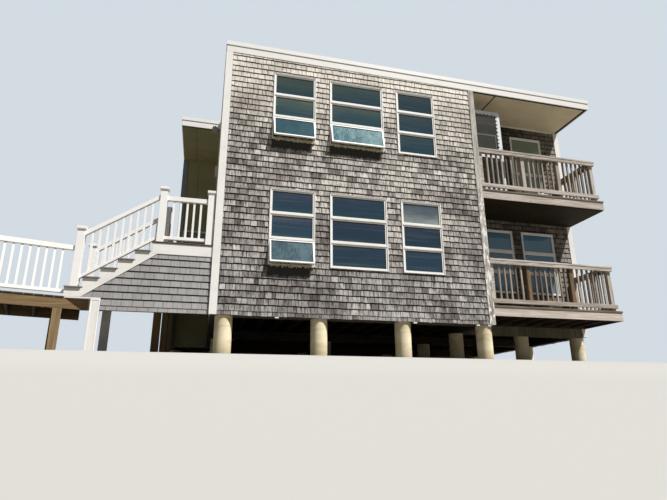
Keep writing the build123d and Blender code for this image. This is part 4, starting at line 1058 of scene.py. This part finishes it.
def add_sill_liners():
    """Behind each open sash the liner on the frame's sill comes into sight, old sealant crumbles over it, and
    ragged strips of near-black bitumen hang under it as painted shadow of the sash."""
    frame_boxes = np.concatenate([solid_boxes(n) for n in ("lower_window_frames", "upper_window_frames")])
    rng = np.random.default_rng(17)
    liners, crumbs, flashing = [], [], []
    for centre, level, rise, out, (wide, high, thick) in open_panes():
        under = [b for b in frame_boxes if b[0][0] < centre[0] < b[1][0] and abs(b[0][1] - centre[1]) < 0.3
                 and b[1][2] - b[0][2] < 0.1 and b[1][2] < centre[2]]
        rail_low, rail_high = max(under, key=lambda b: b[1][2])
        sill, face = rail_high[2], rail_low[1]
        x0, x1 = centre[0] - wide / 2 - 0.02, centre[0] + wide / 2 + 0.02
        foot = rail_low[2]
        liners.append(between((x0, face + 0.006, sill), (x1, face + 0.03, sill + LINER_TALL)))
        liners.append(between((x0, face + 0.003, foot - APRON_TALL), (x1, face + 0.03, foot)))
        for _ in range(int(CRUMBS_PER_METRE * (x1 - x0))):
            size = rng.uniform(0.005, 0.016, 3)
            x = rng.uniform(x0 + 0.01, x1 - 0.01)
            z = sill + rng.uniform(-0.008, LINER_TALL * rng.uniform(0.3, 1.0))
            proud = rng.uniform(0.0, CRUMB_REACH) * (1 - (z - sill) / LINER_TALL)
            y = (face if z < sill + size[2] else face + 0.006) - proud / 2
            turn = np.array(Matrix.Rotation(rng.uniform(0, 3), 3, Vector(rng.uniform(-1, 1, 3))))
            crumbs.append((np.array([x, y, z]), size, turn))
            size = rng.uniform(0.008, 0.026, 3)
            z = rng.uniform(foot - APRON_TALL * rng.uniform(0.2, 1.2), sill)
            y = face + 0.004 - rng.uniform(0.0, 0.008)
            crumbs.append((np.array([rng.uniform(x0, x1), y, z]), size, turn))
        # Near-black strips under each open sash, ragged at the foot: painted shadow of the sash
        shingle_face = wall_corner.y - BUTT_THICK
        for x in np.arange(x0 - STRIP_WIDE, x1 - 2 * STRIP_WIDE, STRIP_WIDE):
            tall = PAINTED_SHADOW_TALL * rng.uniform(0.8, 1.0)
            flashing.append(between((x, shingle_face - 0.004, foot - APRON_TALL - tall),
                                    (x + STRIP_WIDE, shingle_face - 0.001, foot - 0.5 * APRON_TALL)))
    box_set("sill_liners", liners, "liner_board", 0.002)
    box_set("under_sill_painted_shadow_strips", flashing, "flashing")
    box_set("sealant_crumbs", crumbs, "perished_sealant", 0.0015)


def soffit_planes():
    """Each soffit's low and high corner and its height at any x, for what is fixed under it."""
    piece = merged_copy("soffits", "measured")
    co, owner = own_corners(piece.data), part_numbers(piece.data)
    bpy.data.objects.remove(piece)
    found = []
    for i in range(owner.max() + 1):
        mine = co[owner == i]
        low, high = mine.min(0), mine.max(0)
        z_left = mine[mine[:, 0] < low[0] + 0.001][:, 2].min()
        z_right = mine[mine[:, 0] > high[0] - 0.001][:, 2].min()
        found.append((low, high, z_left, (z_right - z_left) / (high[0] - low[0])))
    return found


SEAM_WIDE = 0.007
SEAM_PROUD = 0.0015
SLOT_WIDE = 0.066
FRONT_SLOT_WIDE = 0.05


def add_soffit_seams():
    """Dark joints between the soffit panels, and the open slot behind the fascia's lower edge."""
    found = []
    for low, high, z_left, slope in soffit_planes():
        def under(x):
            return z_left + slope * (x - low[0])
        side = (1, 0, slope)
        porch = high[0] < 0
        x0, y0, x1, y1 = low[0] + 0.01, low[1] + 0.01, high[0] - 0.01, high[1] - 0.01
        x = (low[0] + high[0]) / 2 - 0.15 if porch else low[0] + 0.66
        z = under(x) - SEAM_PROUD / 2
        found.append(bar((x, y0, z), (x, y1, z), SEAM_WIDE if porch else 5 * SEAM_WIDE, SEAM_PROUD, side))
        if not porch:
            x = high[0] - 0.035
            z = under(x) - SEAM_PROUD
            found.append(bar((x, y0, z), (x, y1, z), SLOT_WIDE, 2 * SEAM_PROUD, side))
        y = low[1] + 0.027
        found.append(bar((x0, y, under(x0) - SEAM_PROUD), (x1, y, under(x1) - SEAM_PROUD), FRONT_SLOT_WIDE,
                         2 * SEAM_PROUD, (0, 1, 0)))
    entry_low, entry_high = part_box("entry_wall")
    x = (entry_low.x + entry_high.x) / 2 - 0.15
    found.append(between((x - SEAM_WIDE / 2, entry_low.y - SEAM_PROUD, entry_low.z + 1.3),
                         (x + SEAM_WIDE / 2, entry_low.y, entry_high.z - 0.15)))
    box_set("panel_joints", found, "joint_shadow")


TAB_PLACES = (1.2, 3.93, 5.3, 5.56)
TAB_HALF = 0.035


def add_wall_tabs():
    """Pale flashing tabs that peep out under the front wall's lowest course."""
    low = wall_corner
    box_set("flashing_tabs", [between((low.x + x - TAB_HALF, low.y - 0.016, low.z - 0.03),
                                      (low.x + x + TAB_HALF, low.y - 0.012,
                                       low.z + 0.01)) for x in TAB_PLACES],
            "frame_vinyl")


NAIL_HALF = 0.005
NAIL_PROUD = 0.0015
FRONT_NAILS = 9
SIDE_NAILS = 4


def add_nails():
    """Galvanised nail heads where the joists meet the rims."""
    found = []
    for storey in ("lower", "upper"):
        low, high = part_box(storey + "_balcony_frame")
        for i in range(FRONT_NAILS):
            x = low.x + 0.02 + (high.x - low.x - 0.04) * i / (FRONT_NAILS - 1)
            for z in (low.z + 0.05, high.z - 0.05):
                found.append(between((x - NAIL_HALF, low.y - NAIL_PROUD, z - NAIL_HALF),
                                     (x + NAIL_HALF, low.y, z + NAIL_HALF)))
        for i in range(SIDE_NAILS):
            y = low.y + 0.1 + i * 0.3
            for z in (low.z + 0.05, high.z - 0.05):
                found.append(between((high.x, y - NAIL_HALF, z - NAIL_HALF),
                                     (high.x + NAIL_PROUD, y + NAIL_HALF, z + NAIL_HALF)))
    box_set("nail_heads", found, "zinc")


def add_foot_panel():
    """The cased post under the stairs' foot has a thin raised edge round its panel."""
    low, high = min(solid_boxes("stair_foot_posts"), key=lambda box: box[0][1])
    left = high[0] - 0.155
    top = high[2] - 0.03
    proud = low[1] - 0.004
    found = [between((left, proud, 0.05), (left + 0.018, low[1], top)),
             between((high[0] - 0.022, proud, 0.05), (high[0] - 0.004, low[1], top)),
             between((left + 0.018, proud, top - 0.016), (high[0] - 0.022, low[1], top))]
    box_set("foot_post_casing", found, "rail_vinyl", 0.0015)


def join_all(name, pieces, material):
    """Joins round pieces into one smooth piece, with their places in the mesh itself."""
    bpy.ops.object.select_all(action="DESELECT")
    for piece in pieces:
        piece.select_set(True)
    bpy.context.view_layer.objects.active = pieces[0]
    bpy.ops.object.transform_apply(location=True, rotation=True, scale=True)
    bpy.ops.object.join()
    piece = bpy.context.object
    piece.name = name
    piece.data.name = name
    settle(piece, material, True)


KNOB_RADIUS = 0.028
PANEL_ROWS = ((-0.27, 0.36), (0.2, 0.44))


def add_door_fittings():
    """Raised panels and a knob on each door; the rows are the panels' middles and heights as shares of it."""
    panels, knobs = [], []
    up = np.array([0, 0, 1])
    for low, high in solid_boxes("doors"):
        size = high - low
        out = np.array([1.0, 0, 0]) if size[0] < size[1] else np.array([0, -1.0, 0])
        level = np.array([0, 1.0, 0]) if size[0] < size[1] else np.array([1.0, 0, 0])
        wide, tall = float(size @ level), float(size[2])
        face = (low + high) / 2 + out * (abs(float(size @ out)) / 2)
        axes = np.array([level, up, np.cross(level, up)])
        for row, share in PANEL_ROWS:
            for sign in (-1, 1):
                mid = face + level * sign * wide * 0.22 + up * row * tall
                panels.append((mid, (wide * 0.34, tall * share, 0.012), axes))
        knobs.append((face + level * wide * 0.42 + out * 0.03 - up * 0.03, out))
    box_set("door_panels", panels, "door_paint", 0.005)
    turned = []
    for mid, out in knobs:
        bpy.ops.mesh.primitive_uv_sphere_add(segments=24, ring_count=12, radius=KNOB_RADIUS, location=mid)
        turned.append(bpy.context.object)
        bpy.ops.mesh.primitive_cylinder_add(vertices=24, radius=0.012, depth=0.05, location=mid - out * 0.02,
                                            rotation=Vector(out).to_track_quat("Z", "Y").to_euler())
        turned.append(bpy.context.object)
    join_all("door_knobs", turned, "zinc")


SCALLOP_PITCH = 0.1
SCALLOP_RADIUS = 0.038
STORM_RAIL_SHARE = 0.69


def add_storm_door_edge():
    """Scallops along the inner edge of the storm door's top rail and stile, its inner frame and handle."""
    low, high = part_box("storm_door")
    pane_boxes = solid_boxes("storm_door_panes")
    pane_low, pane_high = pane_boxes[:, 0].min(0), pane_boxes[:, 1].max(0)
    scallops = []
    y = low.y + 0.004
    for z in np.arange(pane_low[2] + 0.05, pane_high[2], SCALLOP_PITCH):
        scallops.append((pane_high[0], y, z))
    for x in np.arange(pane_low[0] + 0.04, pane_high[0], SCALLOP_PITCH):
        scallops.append((x, y, pane_high[2]))
    made = []
    for place in scallops:
        bpy.ops.mesh.primitive_cylinder_add(vertices=20, radius=SCALLOP_RADIUS, depth=0.006, location=place,
                                            rotation=(math.radians(90), 0, 0))
        made.append(bpy.context.object)
    join_all("storm_door_scallops", made, "storm_frame")
    rail = low.z + STORM_RAIL_SHARE * (high.z - low.z)
    stile = pane_high[0] - 0.085
    # The inner frame's dark grey is partly painted shade
    box_set("storm_door_inner_frame", [
        between((pane_low[0], y + 0.003, rail - 0.013), (pane_high[0], y + 0.008, rail + 0.013)),
        between((stile - 0.01, y + 0.003, pane_low[2]), (stile + 0.01, y + 0.008, rail - 0.013))],
            "dull_metal", 0.001)
    x, front = pane_high[0] + 0.03, low.y - 0.03
    box_set("storm_door_handle", [
        bar((x, front, low.z + 0.95), (x, front, low.z + 1.1), 0.016, 0.012, (1, 0, 0)),
        between((x - 0.008, front, low.z + 0.955), (x + 0.008, low.y, low.z + 0.97)),
        between((x - 0.008, front, low.z + 1.08), (x + 0.008, low.y, low.z + 1.095))],
            "zinc", 0.003)


FORM_JOINT_DOWN = 0.19
FORM_JOINT_PROUD = 0.003


def add_pier_rings():
    """The joint that the paper form left round each pier."""
    rings = []
    for low, high in solid_boxes("piers"):
        centre, radius = (low + high) / 2, (high[0] - low[0]) / 2
        bpy.ops.mesh.primitive_cylinder_add(vertices=48, radius=radius + FORM_JOINT_PROUD, depth=0.008,
                                            location=(centre[0], centre[1], high[2] - FORM_JOINT_DOWN))
        rings.append(bpy.context.object)
    join_all("pier_form_joints", rings, "concrete")


def add_railing_brackets():
    """White plates where the white rails meet the newels."""
    found = []
    for low, high in solid_boxes("white_rails"):
        size = high - low
        if size[2] > 0.12 or min(size[0], size[1]) > 0.12:
            continue
        k = 0 if size[0] > size[1] else 1
        for end, sign in ((low, 1), (high, -1)):
            centre = (low + high) / 2
            centre[k] = end[k] + sign * 0.004
            half = size / 2 + 0.007
            half[k] = 0.004
            found.append(between(centre - half, centre + half))
    box_set("rail_brackets", found, "rail_vinyl", 0.0015)


ROLL_WIDE = 0.98
LAP_WIDE = 0.1
LAP_THICK = 0.003
BITUMEN_WIDE = 0.014


def add_roof_laps():
    """Laps between the rolls of roof membrane, each with a line of bitumen squeezed out along both edges."""
    low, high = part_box("roof_deck")
    co = own_corners(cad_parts["roof_deck"].data)
    top_left = co[co[:, 0] < low.x + 0.01][:, 2].max()
    top_right = co[co[:, 0] > high.x - 0.01][:, 2].max()
    slope = (top_right - top_left) / (high.x - low.x)
    found, edges = [], []
    for i in range(1, 9):
        y = low.y + i * ROLL_WIDE
        left = 0.05 + (wall_corner.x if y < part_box("entry_wall")[0].y - 1.1 else low.x)
        right = high.x - 0.05
        z_left, z_right = (top_left + slope * (x - low.x) + LAP_THICK / 2 for x in (left, right))
        found.append(bar((left, y, z_left), (right, y, z_right), LAP_WIDE, LAP_THICK, (0, 1, 0)))
        for side in (-LAP_WIDE / 2, LAP_WIDE / 2):
            edges.append(bar((left, y + side, z_left + 0.0003), (right, y + side, z_right + 0.0003),
                             BITUMEN_WIDE, 1.2 * LAP_THICK, (0, 1, 0)))
    box_set("membrane_laps", found, "roof")
    box_set("lap_bitumen", edges, "flashing")


add_gaskets()
add_stays()
add_sill_liners()
add_soffit_seams()
add_wall_tabs()
add_nails()
add_foot_panel()
add_door_fittings()
add_storm_door_edge()
add_pier_rings()
add_railing_brackets()
add_roof_laps()


def pale_ground():
    """Plain pale floor: level under the building, and in front of it a slope down below the eye."""
    crest = cad_box[0].y - 0.15
    bottom = wall_corner.z + EYE_FROM_CORNER.z - 1.5
    reach = 70
    bpy.ops.mesh.primitive_plane_add(size=1, location=(0, 0, 0))
    ground = bpy.context.object
    ground.name = "pale_ground"
    ground.scale = (2 * reach, 1, 1)
    bpy.ops.object.transform_apply(scale=True)
    bm = bmesh.new()
    bm.from_mesh(ground.data)
    bm.verts.ensure_lookup_table()
    for v in bm.verts:
        v.co.y = reach if v.co.y > 0 else crest
    front = [e for e in bm.edges if all(v.co.y < crest + 0.01 for v in e.verts)]
    for y, z in ((crest - 2.6, bottom), (-reach, bottom)):
        made = bmesh.ops.extrude_edge_only(bm, edges=front)["geom"]
        front = [g for g in made if isinstance(g, bmesh.types.BMEdge)]
        for v in {v for e in front for v in e.verts}:
            v.co.y, v.co.z = y, z
    across = [e for e in bm.edges if abs(e.verts[0].co.y - e.verts[1].co.y) < 0.001
              and crest - 3 < e.verts[0].co.y < crest + 0.01]
    bmesh.ops.bevel(bm, geom=across, offset=0.6, segments=10, profile=0.5, affect="EDGES")
    bmesh.ops.recalc_face_normals(bm, faces=bm.faces)
    bm.to_mesh(ground.data)
    bm.free()
    ground.data.shade_smooth()
    made, tree = new_material("pale_floor_paint")
    seen = add(tree, "LightPath", out="Is Camera Ray").node.outputs
    direct = add(tree, "Math", {0: seen["Is Camera Ray"], 1: seen["Is Glossy Ray"]}, operation="MAXIMUM")
    base = add(tree, "Mix", {0: direct, 6: "#7a756d", 7: "#aaa9a5"}, **BLEND)
    ground.data.materials.append(finish_material(made, tree, base, 0.95, Specular_IOR_Level=0.1))


def pale_sky():
    """Pale backdrop for what the eye, gloss and glass see, and a plain soft level of light for the rest."""
    world = bpy.data.worlds.new("pale_backdrop")
    bpy.context.scene.world = world
    world.use_nodes = True
    tree = world.node_tree
    tree.nodes.clear()
    path = add(tree, "LightPath", out="Is Camera Ray").node
    seen = add(tree, "Math", {0: path.outputs["Is Camera Ray"], 1: path.outputs["Is Glossy Ray"]},
               operation="MAXIMUM")
    seen = add(tree, "Math", {0: seen, 1: path.outputs["Is Transmission Ray"]}, operation="MAXIMUM")
    strength = add(tree, "MapRange", {"Value": seen, 1: 0.0, 2: 1.0, 3: SKY_STRENGTH, 4: 1.0})
    sky = add(tree, "Background", {"Color": "#d3dbe3", "Strength": strength})
    add(tree, "OutputWorld", {"Surface": sky})


def sun():
    lamp = bpy.data.lights.new("studio_sun", "SUN")
    lamp.energy = SUN_STRENGTH
    lamp.angle = math.radians(SUN_ANGLE)
    lamp.color = (1.0, 0.98, 0.955)
    carrier = bpy.data.objects.new("studio_sun", lamp)
    carrier.rotation_mode = "QUATERNION"
    carrier.rotation_quaternion = SUN_DIRECTION.to_track_quat("-Z", "Y")
    bpy.context.scene.collection.objects.link(carrier)


def eye():
    """The camera stands low in front of the left corner and looks up and to the right."""
    yaw, pitch, roll = (math.radians(a) for a in (CAMERA_YAW, CAMERA_PITCH, CAMERA_ROLL))
    ahead = Vector((math.sin(yaw) * math.cos(pitch), math.cos(yaw) * math.cos(pitch), math.sin(pitch)))
    right = Vector((math.cos(yaw), -math.sin(yaw), 0))
    up = right.cross(ahead)
    right, up = (right * math.cos(roll) + up * math.sin(roll), up * math.cos(roll) - right * math.sin(roll))
    lens = bpy.data.cameras.new("eye")
    lens.sensor_width = 36
    lens.lens = FOCAL_PIXELS / PHOTO_WIDTH * lens.sensor_width
    lens.clip_end = 500
    camera = bpy.data.objects.new("eye", lens)
    camera.matrix_world = Matrix.Translation(wall_corner + EYE_FROM_CORNER) @ Matrix(
        (right, up, -ahead)).transposed().to_4x4()
    bpy.context.scene.collection.objects.link(camera)
    bpy.context.scene.camera = camera


pale_ground()
pale_sky()
sun()
eye()
bpy.context.scene.view_settings.view_transform = "Standard"
